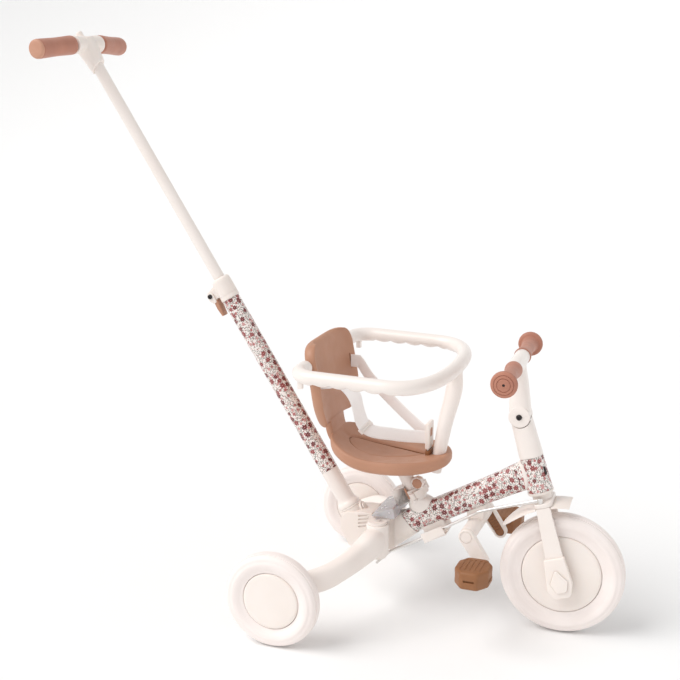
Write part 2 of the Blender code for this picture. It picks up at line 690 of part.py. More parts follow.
def handlebar():
    """Two round cheeks straddle the tongue, and the bar's hub crosses the top."""
    loops = []
    for height, half_x, half_y in ((0.0, STEM_HALF_DEPTH, STEM_HALF_WIDTH),
                                   (0.030, 0.0180, 0.0166), (0.062, 0.0160, 0.0158),
                                   (BAR_RISE, 0.0128, 0.0150)):
        loops.append([(x, y, height) for x, y in ellipse(half_x, half_y, ROUND, 2.8)])
    upper = place("handlebar_stem", skin(loops), CREAM_PAINT, BAR_AXIS)
    join(upper, "cheeks", drum(STEM_HALF_DEPTH - 0.0002, -STEM_HALF_WIDTH + 0.0001,
                               STEM_HALF_WIDTH - 0.0001, along="Y"))
    join(upper, "bar_hub", drum(BAR_HUB_RADIUS, -BAR_HUB_HALF, BAR_HUB_HALF, along="Y",
                                edge=0.0015), location=(0, 0, BAR_RISE))
    slot = TONGUE_HALF_WIDTH + RUN
    cut(upper, "tongue_room", drum(0.0170 + RUN, -slot, slot, along="Y"))
    cut(upper, "tongue_mouth", box((-0.03, -slot, -0.03), (0.03, slot, 0.0)))
    cut(upper, "cheek_bolt_room", drum(STEM_BOLT_RADIUS + GAP, -0.03, 0.03, SMALL, along="Y"))
    cut(upper, "bar_room", drum(BAR_RADIUS + GAP, -0.06, 0.06, along="Y"),
        location=(0, 0, BAR_RISE))
    end = BAR_HALF - 0.0045
    place("handlebar_tube", drum(BAR_RADIUS, -end, end, along="Y"), STEEL, BAR_AXIS,
          (0, 0, BAR_RISE))
    for side, sign in SIDES:
        place("grip_" + side, grip_bm(sign), TAN_GRIP, BAR_AXIS, (0, 0, BAR_RISE))


def grip_bm(sign):
    """A spool-shaped grip: inner collar, waist, thick ringed end flange and a blind bore."""
    bore = BAR_RADIUS + GAP
    start = BAR_HUB_HALF + GAP
    flange = BAR_HALF - FLANGE_THICKNESS
    profile = [(0, BAR_HALF - 0.0042), (bore, BAR_HALF - 0.0042), (bore, start),
               (GRIP_RADIUS, start), (GRIP_RADIUS, start + 0.0060),
               (GRIP_WAIST, start + 0.0260), (GRIP_WAIST, flange - 0.0200),
               (GRIP_RADIUS, flange - 0.0030), (FLANGE_RADIUS, flange + 0.0010),
               (FLANGE_RADIUS, flange + 0.0070), (FLANGE_RADIUS - 0.0050, BAR_HALF),
               (0, BAR_HALF)]
    return turned([(r, sign * h) for r, h in profile], ROUND, along="Y")


# Rear housing

def lobe_outline(sign):
    """A clevis lobe: from the housing's flank out round the leg's bolt."""
    root = sign * (WEB_HALF_WIDTH - 0.002)
    tip = sign * (LEG_PIVOT_Y + LOBE_RADIUS)
    back = LEG_PIVOT_X - LOBE_RADIUS
    front = LEG_PIVOT_X + LOBE_RADIUS
    return rounded([(back - 0.008, root), (back, tip), (front, tip), (front, root)],
                   [0.0005, LOBE_RADIUS, LOBE_RADIUS, 0.0005], 3)


def rear_housing():
    outline = rounded([(0.0660, PLATE_LOW), (0.0500, 0.1400), (0.0480, 0.1620),
                       (0.0600, 0.1760), (BODY_FRONT - 0.02, PLATE_HIGH),
                       (BODY_FRONT, PLATE_HIGH), (BODY_FRONT, PLATE_LOW)],
                      [0.010, 0.010, 0.010, 0.010, 0.010, 0.0005, 0.0005])
    body = place("rear_housing", prism(outline, -BODY_HALF_WIDTH, BODY_HALF_WIDTH),
                 CREAM_PLASTIC, TRICYCLE)
    bevel(body, 0.0045, 1)
    join(body, "housing_web", box((BODY_FRONT - 0.006, -WEB_HALF_WIDTH, PLATE_LOW + 0.0001),
                                  (HOUSING_FRONT, WEB_HALF_WIDTH, PLATE_HIGH - 0.0001)))
    levels = (("low", PLATE_LOW), ("high", PLATE_HIGH - PLATE_THICKNESS - 0.001))
    for side, sign in SIDES:
        for name, low in levels:
            join(body, "lobe_%s_%s" % (name, side),
                 prism(lobe_outline(sign), low, low + PLATE_THICKNESS, "Z"))
    join(body, "socket", drum(SOCKET_RADIUS, -0.050, 0.0, edge=0.0015), POLE_AXIS)
    join(body, "snap_boss", drum(SNAP_RADIUS + 0.0027, 0.010, SOCKET_RADIUS + 0.0015, SMALL,
                                 along="X"), POLE_AXIS, (0, 0, -SNAP_DEPTH))
    plinth = BUTTON_WALL + RUN
    join(body, "button_plinth",
         box((BUTTON_BACK + plinth, -BUTTON_HALF_WIDTH + plinth, PLATE_HIGH - 0.003),
             (HOUSING_FRONT - 0.0005, BUTTON_HALF_WIDTH - plinth, PLATE_HIGH + 0.0048)))
    for side, sign in SIDES:
        cut(body, "leg_bolt_room_" + side,
            drum(LEG_BOLT_RADIUS + GAP, PLATE_LOW - 0.01, PLATE_HIGH + 0.0036, SMALL),
            location=(LEG_PIVOT_X, sign * LEG_PIVOT_Y, 0))
    cut(body, "swivel_bore", drum(SWIVEL_RADIUS + RUN, -SWIVEL_LENGTH - RUN, 0.01), POLE_AXIS)
    cut(body, "shaft_bore", drum(SHAFT_RADIUS + RUN, -0.12, -0.03, MEDIUM), POLE_AXIS)
    cut(body, "snap_bore", drum(SNAP_RADIUS + RUN, SWIVEL_RADIUS + 0.0015, 0.04, SMALL, along="X"),
        POLE_AXIS, (0, 0, -SNAP_DEPTH))
    slot_half = PIN_RADIUS + 0.0012
    cut(body, "rod_slot", box((BODY_FRONT + 0.010, -ROD_ARM - slot_half, PLATE_LOW - 0.01),
                              (0.16, -WEB_HALF_WIDTH - 0.0002, PLATE_LOW + 0.012)))
    for k in range(4):
        cut(body, "vent_%d" % (k + 1),
            box((0.0860, -BODY_HALF_WIDTH - 0.01, 0.1560 + 0.0065 * k),
                (0.1020, -BODY_HALF_WIDTH + 0.0020, 0.1582 + 0.0065 * k)))


def leg_bolt(side, sign):
    """The upright bolt that a leg folds on, with its head under the lower plate."""
    head = PLATE_LOW - GAP
    profile = [(0, head - 0.0035), (LEG_BOLT_HEAD, head - 0.0035), (LEG_BOLT_HEAD, head),
               (LEG_BOLT_RADIUS, head), (LEG_BOLT_RADIUS, PLATE_HIGH + 0.0030),
               (0, PLATE_HIGH + 0.0030)]
    place("leg_bolt_" + side, turned(profile, SMALL), STEEL, TRICYCLE,
          (LEG_PIVOT_X, sign * LEG_PIVOT_Y, 0))


def nose_loops(grow=0.0):
    """From an upright section at the housing to a slanting seam round the main tube."""
    middle = (PLATE_LOW + 0.0030 + PLATE_HIGH - 0.0010) / 2
    half = (PLATE_HIGH - PLATE_LOW - 0.0040) / 2 + grow
    start_x = HOUSING_FRONT + GAP - grow
    first = [(start_x, y, middle + z)
             for y, z in ellipse(NOSE_HALF_WIDTH + grow, half, ROUND, 5.0)]
    c, s = math.cos(TUBE_SLOPE), math.sin(TUBE_SLOPE)
    last = []
    reach = NOSE_WALL + grow
    for y, up in ellipse(TUBE_HALF_WIDTH + reach, TUBE_HALF_HEIGHT + reach, ROUND, 3.2):
        along = (NOSE_SEAM - TUBE_START_X - TUBE_START_Z - up * (c - s)) / (c + s)
        last.append((TUBE_START_X + along * c - up * s, y, TUBE_START_Z + along * s + up * c))
    return [first, last]


def housing_nose():
    nose = place("housing_nose", skin(nose_loops()), CREAM_PLASTIC, TRICYCLE)
    cut(nose, "tube_pocket", skin(tube_loops(TUBE_INSET - GAP, 0.10, GAP, 2)), TUBE_AXIS)


def release_button():
    """A wedge-shaped translucent button over the upper plate, pressed to free the legs."""
    bottom = PLATE_HIGH + BUTTON_TRAVEL + GAP
    side = [(BUTTON_BACK, bottom), (BUTTON_FRONT, bottom),
            (BUTTON_FRONT - 0.0050, BUTTON_TOP_FRONT), (BUTTON_BACK + 0.0060, BUTTON_TOP_BACK)]
    button = place("release_button", prism(rounded(side, [0.0005, 0.0005, 0.004, 0.005], 2),
                                           -BUTTON_HALF_WIDTH, BUTTON_HALF_WIDTH),
                   GREY_LENS, TRICYCLE)
    bevel(button, 0.0012, 1)
    wall = BUTTON_WALL
    cut(button, "button_hollow",
        box((BUTTON_BACK + wall, -BUTTON_HALF_WIDTH + wall, bottom - 0.01),
            (BUTTON_FRONT - wall, BUTTON_HALF_WIDTH - wall, bottom + 0.0062)))
    clear = BUTTON_TRAVEL + RUN
    cut(button, "nose_clearance", skin(nose_loops(clear)))
    cut(button, "tube_clearance",
        skin(tube_loops(TUBE_INSET - clear, 0.06, clear + NOSE_WALL, 2)), TUBE_AXIS)


# Rear legs

LEG_SHARES = (                  # x, y and z from pivot to axle, half thickness, half height
    (0.000, 0.000, 0.000, 0.0190, 0.0265),
    (0.030, 0.160, 0.050, 0.0185, 0.0262),
    (0.130, 0.330, 0.250, 0.0170, 0.0240),
    (0.260, 0.581, 0.420, 0.0155, 0.0215),
    (0.430, 0.779, 0.580, 0.0140, 0.0222),
    (0.630, 0.924, 0.680, 0.0110, 0.0215),
    (0.845, 0.994, 0.870, 0.0086, 0.0190),
    (1.000, 1.000, 1.000, 0.0080, 0.0150),
)


def rear_leg(side, sign):
    """A curved leg: a tall knuckle on its bolt, tapering back and out to the wheel."""
    root_z = (PLATE_LOW + PLATE_HIGH) / 2 + 0.0005
    axis = empty("rear_leg_axis_" + side, TRICYCLE, (LEG_PIVOT_X, sign * LEG_PIVOT_Y, 0))
    points = []
    for x, y, z, _, _ in LEG_SHARES:
        points.append((-LEG_PIVOT_X * x, sign * (LEG_END_Y - LEG_PIVOT_Y) * y,
                       between(root_z, REAR_RADIUS, z)))

    def section(k):
        return ellipse(LEG_SHARES[k][3], LEG_SHARES[k][4], MEDIUM, 2.6)

    leg = place("rear_leg_" + side, sweep(points, section), CREAM_PAINT, axis, smooth=60)
    low = PLATE_LOW + PLATE_THICKNESS + GAP
    high = PLATE_HIGH - PLATE_THICKNESS - 0.001 - GAP
    join(leg, "knuckle_" + side, drum(KNUCKLE_RADIUS, low, high))
    end = (-LEG_PIVOT_X, sign * (LEG_END_Y - LEG_PIVOT_Y), REAR_RADIUS)
    join(leg, "leg_eye_" + side,
         drum(LEG_END_RADIUS, -LEG_END_HALF, LEG_END_HALF, along="Y"), location=end)
    cut(leg, "leg_bolt_bore_" + side, drum(LEG_BOLT_RADIUS + RUN, 0.05, 0.25, SMALL))
    cut(leg, "leg_axle_bore_" + side,
        drum(AXLE_RADIUS + GAP, -0.03, 0.03, SMALL, along="Y"), location=end)
    inner, outer = sorted((sign * LEG_END_HALF, sign * 0.03))
    cut(leg, "leg_outer_face_" + side, box((-0.03, inner, -0.03), (0.045, outer, 0.03)),
        location=end)
    inner, outer = sorted((-sign * LEG_END_HALF, -sign * 0.03))
    cut(leg, "leg_inner_face_" + side, box((-0.03, inner, -0.012), (0.012, outer, 0.012)),
        location=end)


# Push pole

def pole_swivel():
    """The swivel holds the pole, turns in the housing and has an arm beneath it."""
    body = place("pole_swivel", drum(SWIVEL_RADIUS, -SWIVEL_LENGTH, GAP + 0.002), CREAM_PLASTIC,
                 POLE_AXIS)
    join(body, "swivel_flange", drum(SOCKET_RADIUS - 0.0010, GAP, FLANGE_HEIGHT, edge=0.0008))
    join(body, "swivel_shaft", drum(SHAFT_RADIUS, -CRANK_DEPTH - 0.003, -SWIVEL_LENGTH + 0.003,
                                    MEDIUM))
    corners = [(-0.0090, 0.0080), (-0.0060, -ROD_ARM - 0.0060), (0.0060, -ROD_ARM - 0.0060),
               (0.0090, 0.0080)]
    join(body, "swivel_arm", prism(rounded(corners, [0.006, 0.0055, 0.0055, 0.006]),
                                   -CRANK_DEPTH - 0.002, -CRANK_DEPTH + 0.002, "Z"))
    cut(body, "swivel_pin_hole", drum(PIN_RADIUS + 0.001, -CRANK_DEPTH - 0.01,
                                      -CRANK_DEPTH + 0.01, SMALL), location=(0, -ROD_ARM, 0))
    cut(body, "spigot_well", drum(SPIGOT_RADIUS + RUN, -SPIGOT_DEPTH - RUN, 0.02))
    place("snap_button", drum(SNAP_RADIUS, SWIVEL_RADIUS + 0.0065, SOCKET_RADIUS + 0.0050, SMALL,
                              along="X", edge=0.0008), CREAM_PLASTIC, POLE_AXIS, (0, 0, -SNAP_DEPTH))


def pole_tubes():
    """A plain foot, a printed lower tube and an upper tube that slides down into it."""
    foot = FLANGE_HEIGHT + GAP
    profile = [(0, -SPIGOT_DEPTH), (SPIGOT_RADIUS, -SPIGOT_DEPTH), (SPIGOT_RADIUS, foot),
               (SOCKET_RADIUS - 0.0020, foot), (SOCKET_RADIUS - 0.0024, foot + 0.0060),
               (POLE_RADIUS + 0.0008, foot + 0.0110), (POLE_RADIUS, foot + 0.0160),
               (POLE_RADIUS, SLEEVE_TOP), (POLE_RADIUS - 0.0030, SLEEVE_TOP),
               (POLE_RADIUS - 0.0030, SLEEVE_TOP + 0.0200), (0, SLEEVE_TOP + 0.0200)]
    place("pole_foot", turned(profile, ROUND), CREAM_PAINT, POLE_AXIS)
    slide = UPPER_RADIUS + RUN
    socket_r = POLE_RADIUS - 0.0030 + GAP
    low = SLEEVE_TOP + GAP
    deep = SLEEVE_TOP + 0.0200 + GAP
    profile = [(socket_r, low), (POLE_RADIUS, low), (POLE_RADIUS, PRINT_TOP), (slide, PRINT_TOP),
               (slide, deep + 0.002), (socket_r, deep)]
    place("pole_lower_tube", turned(profile, ROUND, ring=True), PRINTED_PAINT, POLE_AXIS)
    place("pole_upper_tube", drum(UPPER_RADIUS, PRINT_TOP - UPPER_OVERLAP,
                                  HANDLE_HEIGHT - 0.0220, MEDIUM), CREAM_PAINT, POLE_AXIS)


def pole_collar():
    """A clamp collar over the joint of the tubes, with a lever on a cross bolt."""
    seat = PRINT_TOP + GAP
    slide = UPPER_RADIUS + RUN
    profile = [(slide, seat), (COLLAR_RADIUS - 0.0010, seat), (COLLAR_RADIUS, seat + 0.002),
               (COLLAR_RADIUS, COLLAR_TOP - 0.006), (COLLAR_RADIUS - 0.0035, COLLAR_TOP),
               (slide, COLLAR_TOP)]
    collar = place("pole_collar", turned(profile, ROUND, ring=True), CREAM_PLASTIC, POLE_AXIS)
    ear = LEVER_HALF_WIDTH - 0.0045
    outline = rounded([(-COLLAR_BOLT_BACK - 0.0075, COLLAR_BOLT_HEIGHT - 0.0075),
                       (-0.0140, COLLAR_BOLT_HEIGHT - 0.0100),
                       (-0.0140, COLLAR_BOLT_HEIGHT + 0.0140),
                       (-COLLAR_BOLT_BACK - 0.0075, COLLAR_BOLT_HEIGHT + 0.0075)],
                      [0.0072, 0.0005, 0.0005, 0.0072])
    join(collar, "collar_ear", prism(outline, -ear, ear))
    bolt_place = (-COLLAR_BOLT_BACK, 0, COLLAR_BOLT_HEIGHT)
    hole = STEM_BOLT_RADIUS + GAP
    cut(collar, "ear_bolt_room", drum(hole, -0.03, 0.03, SMALL, along="Y"), location=bolt_place)
    end = LEVER_HALF_WIDTH + GAP
    half = [(STEM_BOLT_RADIUS, end), (0.0055, end), (0.0050, end + 0.0025), (0, end + 0.0025)]
    mirrored = [(r, -h) for r, h in reversed(half)]
    place("collar_bolt", turned(mirrored + half, SMALL, along="Y"), BLACK_STEEL, POLE_AXIS,
          bolt_place)
    axis = empty("collar_lever_axis", POLE_AXIS, bolt_place)
    blade = rounded([(-0.0080, 0.0075), (-0.0100, -0.0200), (-0.0040, -LEVER_LENGTH),
                     (0.0005, -LEVER_LENGTH), (0.0040, -0.0180), (0.0080, -0.0060),
                     (0.0080, 0.0075)], [0.0070, 0.02, 0.002, 0.002, 0.01, 0.004, 0.0070])
    lever = place("collar_lever", prism(blade, -LEVER_HALF_WIDTH, LEVER_HALF_WIDTH), TAN_PLASTIC,
                  axis)
    cut(lever, "ear_room", box((-0.02, -ear - RUN, -0.0105), (0.02, ear + RUN, 0.03)))
    cut(lever, "lever_bolt_room", drum(hole + RUN, -0.03, 0.03, SMALL, along="Y"))


def push_handle():
    """A tee over the pole's end with two grips swept a little back and down."""
    place_z = HANDLE_HEIGHT
    tee = place("handle_tee", drum(0.0145, place_z - 0.0500, place_z + 0.006, ROUND), CREAM_PLASTIC,
                POLE_AXIS)
    join(tee, "tee_hub", drum(0.0160, -HANDLE_HUB_HALF, HANDLE_HUB_HALF, along="Y", edge=0.0015),
         HANDLE_AXIS)
    join(tee, "tee_nub", drum(0.0105, place_z, place_z + 0.0290, MEDIUM, edge=0.003))
    join(tee, "tee_button", drum(0.0070, 0.0100, 0.0200, SMALL, along="X", edge=0.0015), POLE_AXIS,
         (0, 0, place_z - 0.0260))
    cut(tee, "upper_tube_room", drum(UPPER_RADIUS + GAP, place_z - 0.06,
                                     place_z - 0.0220 + GAP, MEDIUM))
    for side, sign in SIDES:
        root = Vector((0, sign * (HANDLE_HUB_HALF + GAP), 0))
        tip = Vector((-HANDLE_SWEEP, sign * HANDLE_HALF, -HANDLE_DROP))
        reach = tip - root
        stub = rod(root - reach.normalized() * 0.012, root + reach * 0.85, HANDLE_BAR_RADIUS, ROUND)
        join(tee, "handle_stub_" + side, stub, HANDLE_AXIS)
        length = reach.length
        hub = HANDLE_GRIP_RADIUS
        bore = HANDLE_BAR_RADIUS + GAP
        start = hub * reach.xz.length / length + GAP
        profile = [(0, length * 0.86), (bore, length * 0.86), (bore, start), (hub - 0.0015, start),
                   (hub, start + 0.0040), (hub - 0.0012, length * 0.45), (hub, length - 0.0160),
                   (hub + 0.0002, length - 0.0060), (hub - 0.0040, length), (0, length)]
        bm = turned(profile, ROUND)
        turn = reach.to_track_quat("Z", "X").to_matrix().to_4x4()
        bm.transform(Matrix.Translation(root) @ turn)
        place("push_grip_" + side, bm, TAN_GRIP, HANDLE_AXIS)


# Seat post and clamp

def seat_clamp():
    """A saddle on the main tube, a collar round the post and an ear for the lever's pin."""
    outer = POST_RADIUS + CLAMP_WALL
    loops = []
    for height, half_x, half_y, shift in ((-0.0150, 0.0250, 0.0166, 0.004),
                                          (-0.0040, 0.0245, 0.0166, 0.004),
                                          (0.0060, outer + 0.0015, outer * 0.93, 0.001),
                                          (0.0090, outer, outer * 0.97, 0.0)):
        loops.append([(x + shift, y, height)
                      for x, y in ellipse(half_x, half_y, ROUND, 2.5)])
    clamp = place("seat_clamp", skin(loops), CREAM_PAINT, POST_AXIS)
    join(clamp, "clamp_collar", drum(outer, 0.0080, CLAMP_HEIGHT))
    join(clamp, "clamp_ear", box((-0.0315, -0.0168, 0.0065), (-0.0080, 0.0168, 0.0300)))
    cut(clamp, "post_bore", drum(POST_RADIUS + RUN, -0.03, 0.05))
    cut(clamp, "ear_gap", box((-0.05, -0.0012, 0.0070), (-0.005, 0.0012, 0.05)))
    cut(clamp, "tube_seat", skin(tube_loops(0.0, 0.12, GAP, 2)), TUBE_AXIS)
    pin = (0.0040, -outer - 0.0062, 0.0)
    join(clamp, "lever_ear", drum(0.0050, 0.0115, 0.0155, SMALL), location=pin)
    join(clamp, "lever_ear_web", box((-0.0045, 0.0, 0.0117), (0.0045, 0.0095, 0.0153)),
         location=pin)
    join(clamp, "lever_pin", drum(0.0022, 0.0135, LEVER_HIGH, SMALL), location=pin)
    axis = empty("clamp_lever_axis", POST_AXIS, pin)
    steps = 7
    near, far = outer + 0.0012, outer + 0.0065
    turns = [math.radians(between(-75, 85, k / steps)) for k in range(steps + 1)]
    low = [(near * math.cos(a) - pin[0], near * math.sin(a) - pin[1]) for a in turns]
    high = [(far * math.cos(a) - pin[0], far * math.sin(a) - pin[1]) for a in reversed(turns)]
    lever = place("clamp_lever", prism(high + low, LEVER_LOW, LEVER_HIGH, "Z"), TAN_PLASTIC, axis,
                  smooth=50)
    join(lever, "lever_paddle",
         prism(rounded([(-0.0020, outer + 0.0012), (0.0150, outer + 0.0012), (0.0190, 0.0330),
                        (0.0040, 0.0350)], 0.004), LEVER_LOW, LEVER_HIGH + 0.0040, "Z"),
         location=(-pin[0], -pin[1], 0))
    join(lever, "lever_eye", drum(0.0048, LEVER_LOW, LEVER_HIGH, SMALL))
    cut(lever, "lever_pin_room", drum(0.0022 + GAP, 0.0, 0.05, SMALL))


# Seat

def seat_outline(scale=1.0):
    """The seat in plan: broad and square behind, drawn in to a round nose."""
    outline = []
    for k in range(28):
        turn = 2 * math.pi * (k + 0.5) / 28
        c, s = math.cos(turn), math.sin(turn)
        power = 2.2 if c > 0 else 2.9
        reach = SEAT_NOSE - SEAT_MIDDLE if c > 0 else SEAT_MIDDLE - SEAT_REAR
        outline.append((SEAT_MIDDLE + scale * reach * math.copysign(abs(c) ** (2 / power), c),
                        scale * SEAT_HALF_WIDTH * math.copysign(abs(s) ** (2 / power), s)))
    return outline


def seat_rise(x):
    """How far the rim climbs towards the nose and towards the rear."""
    forward = max(0.0, x - SEAT_MIDDLE) / (SEAT_NOSE - SEAT_MIDDLE)
    backward = max(0.0, SEAT_MIDDLE - x) / (SEAT_MIDDLE - SEAT_REAR)
    return 0.0080 * forward ** 2 + 0.0180 * backward ** 2


def strut_bm(grow=0.0):
    """The flat neck that rises from the seat's rear into the back."""
    path = [(0.0600, 0.2960), (0.0420, 0.3120), (0.0330, 0.3300),
            (0.0275, BACK_FOOT_Z + 0.0180 + grow)]
    half = STRUT_THICKNESS / 2 + grow
    wide = STRUT_HALF_WIDTH + grow

    def section(_):
        return rounded([(-wide, -half), (wide, -half), (wide, half), (-wide, half)], 0.004, 1)

    return sweep([(x, 0, z) for x, z in path], section, up=(1, 0, 0))


def seat_shell():
    loops = []
    for height, scale, weight in ((SEAT_BELLY, 0.50, 0.2), (SEAT_BELLY + 0.006, 0.72, 0.5),
                                  (SEAT_RIM_LOW - 0.004, 0.94, 0.9), (SEAT_RIM_LOW + 0.003, 1.0, 1.0),
                                  (SEAT_RIM_HIGH - 0.006, 1.0, 1.0), (SEAT_RIM_HIGH, 0.965, 1.0),
                                  (SEAT_RIM_HIGH - 0.0010, 0.90, 1.0),
                                  (SEAT_RIM_HIGH - 0.0050, 0.45, 0.6)):
        loops.append([(x, y, height + weight * seat_rise(x)) for x, y in seat_outline(scale)])
    seat = place("seat_shell", skin(loops), TAN_PLASTIC, TRICYCLE, smooth=50)
    socket = POST_RISE - 0.010
    join(seat, "post_boss", drum(POST_RADIUS + 0.0055, socket, POST_RISE + 0.022), POST_AXIS)
    cut(seat, "post_seat", drum(POST_RADIUS + GAP, 0.0, POST_RISE + GAP), POST_AXIS)
    join(seat, "strut", strut_bm())
    foot = (RING_LEG_FOOT_X, 0, SEAT_RIM_HIGH)
    cut(seat, "ring_leg_hole", drum(RING_LEG_RADIUS + RUN, -0.06, 0.03), RING_AXIS)
    cut(seat, "crotch_slot", box((foot[0] - 0.0210, -0.0140, SEAT_RIM_HIGH - 0.012),
                                 (foot[0] - 0.0150, 0.0140, SEAT_RIM_HIGH + 0.020)))
    place("seat_post", drum(POST_RADIUS, -POST_DEPTH, POST_RISE), CREAM_PAINT, POST_AXIS)


def backrest():
    """A shield-shaped back: wings come forward and the crown is rounded."""
    rows, columns = 9, 6
    loops = []
    for i in range(rows + 1):
        share = i / rows
        t = 0.5 - 0.5 * math.cos(math.pi * share)
        z = BACK_FOOT_Z + BACK_HEIGHT * t
        x = BACK_FOOT_X - BACK_LEAN * t + 0.004 * math.sin(math.pi * t)
        lower = between(0.58, 1.0, math.sin(min(1.0, t / 0.5) * math.pi / 2))
        upper = (1 - max(0.0, (t - 0.45) / 0.55) ** 3.2) ** (1 / 2.6) if t < 1 else 0.0
        half = BACK_HALF_WIDTH * lower * max(upper, 0.42)
        depth = BACK_THICKNESS * (0.55 + 0.45 * math.sin(math.pi * min(1, max(0, t))) ** 0.4)
        front, rear = [], []
        for j in range(columns + 1):
            s = 2 * j / columns - 1
            y = half * s
            curve = BACK_WRAP * (y / BACK_HALF_WIDTH) ** 2
            thick = depth * (1 - 0.45 * s ** 4)
            front.append((x + curve + thick / 2, y, z))
            rear.append((x + curve - thick / 2, y, z))
        loops.append(front + rear[::-1])
    back = place("backrest", skin(loops), TAN_PLASTIC, TRICYCLE, smooth=60)
    cut(back, "strut_pocket", strut_bm(GAP))
    for side, sign in SIDES:
        slot = STRAP_HALF_WIDTH + 0.0025
        cut(back, "strap_slot_" + side,
            box((-0.05, -0.0030, -slot), (0.05, 0.0030, slot)),
            location=(0.02, sign * STRAP_SLOT_Y, STRAP_SLOT_Z))
        inner, outer = sorted((sign * 0.078, sign * (RING_END_Y + 0.016)))
        join(back, "ring_hook_" + side,
             prism(rounded([(RING_REAR - HOOK_HALF_LENGTH, RING_HEIGHT - 0.022),
                            (RING_REAR + HOOK_HALF_LENGTH, RING_HEIGHT - 0.022),
                            (RING_REAR + HOOK_HALF_LENGTH, RING_HEIGHT - 0.004),
                            (RING_REAR - HOOK_HALF_LENGTH, RING_HEIGHT - 0.004)], 0.003),
                   inner, outer))
        cut(back, "ring_seat_" + side,
            rod((RING_REAR, sign * (RING_END_Y - 0.0010), ring_height(RING_REAR)),
                (RING_REAR, sign * (RING_END_Y + 0.030), ring_height(RING_REAR)),
                RING_RADIUS + GAP, MEDIUM))


# Safety ring

def ring_height(x):
    return RING_HEIGHT - 0.02 * (x - RING_REAR)


def ring_half_path():
    """One side from the rear end round the elbow, along and round to the front."""
    path = [(RING_REAR, RING_END_Y), (RING_REAR, RING_HALF_WIDTH - RING_CORNER)]
    for k in range(1, 4):
        turn = math.pi / 2 * k / 3
        path.append((RING_REAR + RING_CORNER * (1 - math.cos(turn)),
                     RING_HALF_WIDTH - RING_CORNER * (1 - math.sin(turn))))
    straight = RING_STRAIGHT_END - path[-1][0]
    stations = round(straight / SCALLOP_PITCH) * 4
    start = path[-1][0]
    for k in range(1, stations + 1):
        path.append((start + straight * k / stations, RING_HALF_WIDTH))
    for k in range(1, 6):
        turn = math.pi / 2 * (1 - k / 5)
        c, s = math.cos(turn), math.sin(turn)
        path.append((RING_STRAIGHT_END + (RING_FRONT - RING_STRAIGHT_END) * c ** 0.8,
                     RING_HALF_WIDTH * s ** 0.8))
    return path


def safety_ring():
    """A ring arm round the child with finger scallops underneath, and its front leg."""
    half = ring_half_path()
    plan = half + [(x, -y) for x, y in reversed(half[:-1])]
    path = [(x, y, ring_height(x)) for x, y in plan]

    def section(k):
        x, y = plan[k]
        outline = []
        straight = RING_REAR + RING_CORNER < x < RING_STRAIGHT_END + 0.03
        wave = abs(math.sin(math.pi * (x - RING_REAR - RING_CORNER) / SCALLOP_PITCH))
        deep = SCALLOP_DEPTH * (1 - wave) if straight else 0.0
        for a, b in ellipse(RING_RADIUS, RING_RADIUS, 10):
            low = max(0.0, -b / RING_RADIUS)
            outline.append((a, b + deep * low))
        return outline

    ring = place("safety_ring", sweep(path, section), CREAM_PAINT, TRICYCLE, smooth=60)
    front = RING_FRONT - RING_LEG_FOOT_X
    rise = RING_HEIGHT - SEAT_RIM_HIGH
    foot = math.tan(RING_SLIDE_LEAN) * RING_LEG_BELOW
    points = [(RING_LEG_FOOT_X - foot, 0, SEAT_RIM_HIGH - RING_LEG_BELOW),
              (RING_LEG_FOOT_X, 0, SEAT_RIM_HIGH),
              (RING_LEG_FOOT_X + front * 0.42, 0, SEAT_RIM_HIGH + rise * 0.38),
              (RING_LEG_FOOT_X + front * 0.90, 0, SEAT_RIM_HIGH + rise * 0.72),
              (RING_FRONT, 0, SEAT_RIM_HIGH + rise * 0.985)]
    stations = smooth_path(points, 2)

    def leg_section(k):
        share = k / (len(stations) - 1)
        radius = between(RING_LEG_RADIUS, RING_RADIUS, max(0.0, share - 0.4) / 0.6)
        return ellipse(radius, radius, 10)

    join(ring, "ring_leg", sweep(stations, leg_section, up=(1, 0, 0)))


# Harness

def strap(name, points):
    """Flat webbing that stands on edge, curved between two straight ends."""
    stations = [points[0]] + smooth_path(points[1:-1], 3) + [points[-1]]

    def section(_):
        half, thin = STRAP_HALF_WIDTH, STRAP_THICKNESS / 2
        return [(-thin, -half), (thin, -half), (thin, half), (-thin, half)]

    place(name, sweep(stations, section), WEBBING, TRICYCLE)


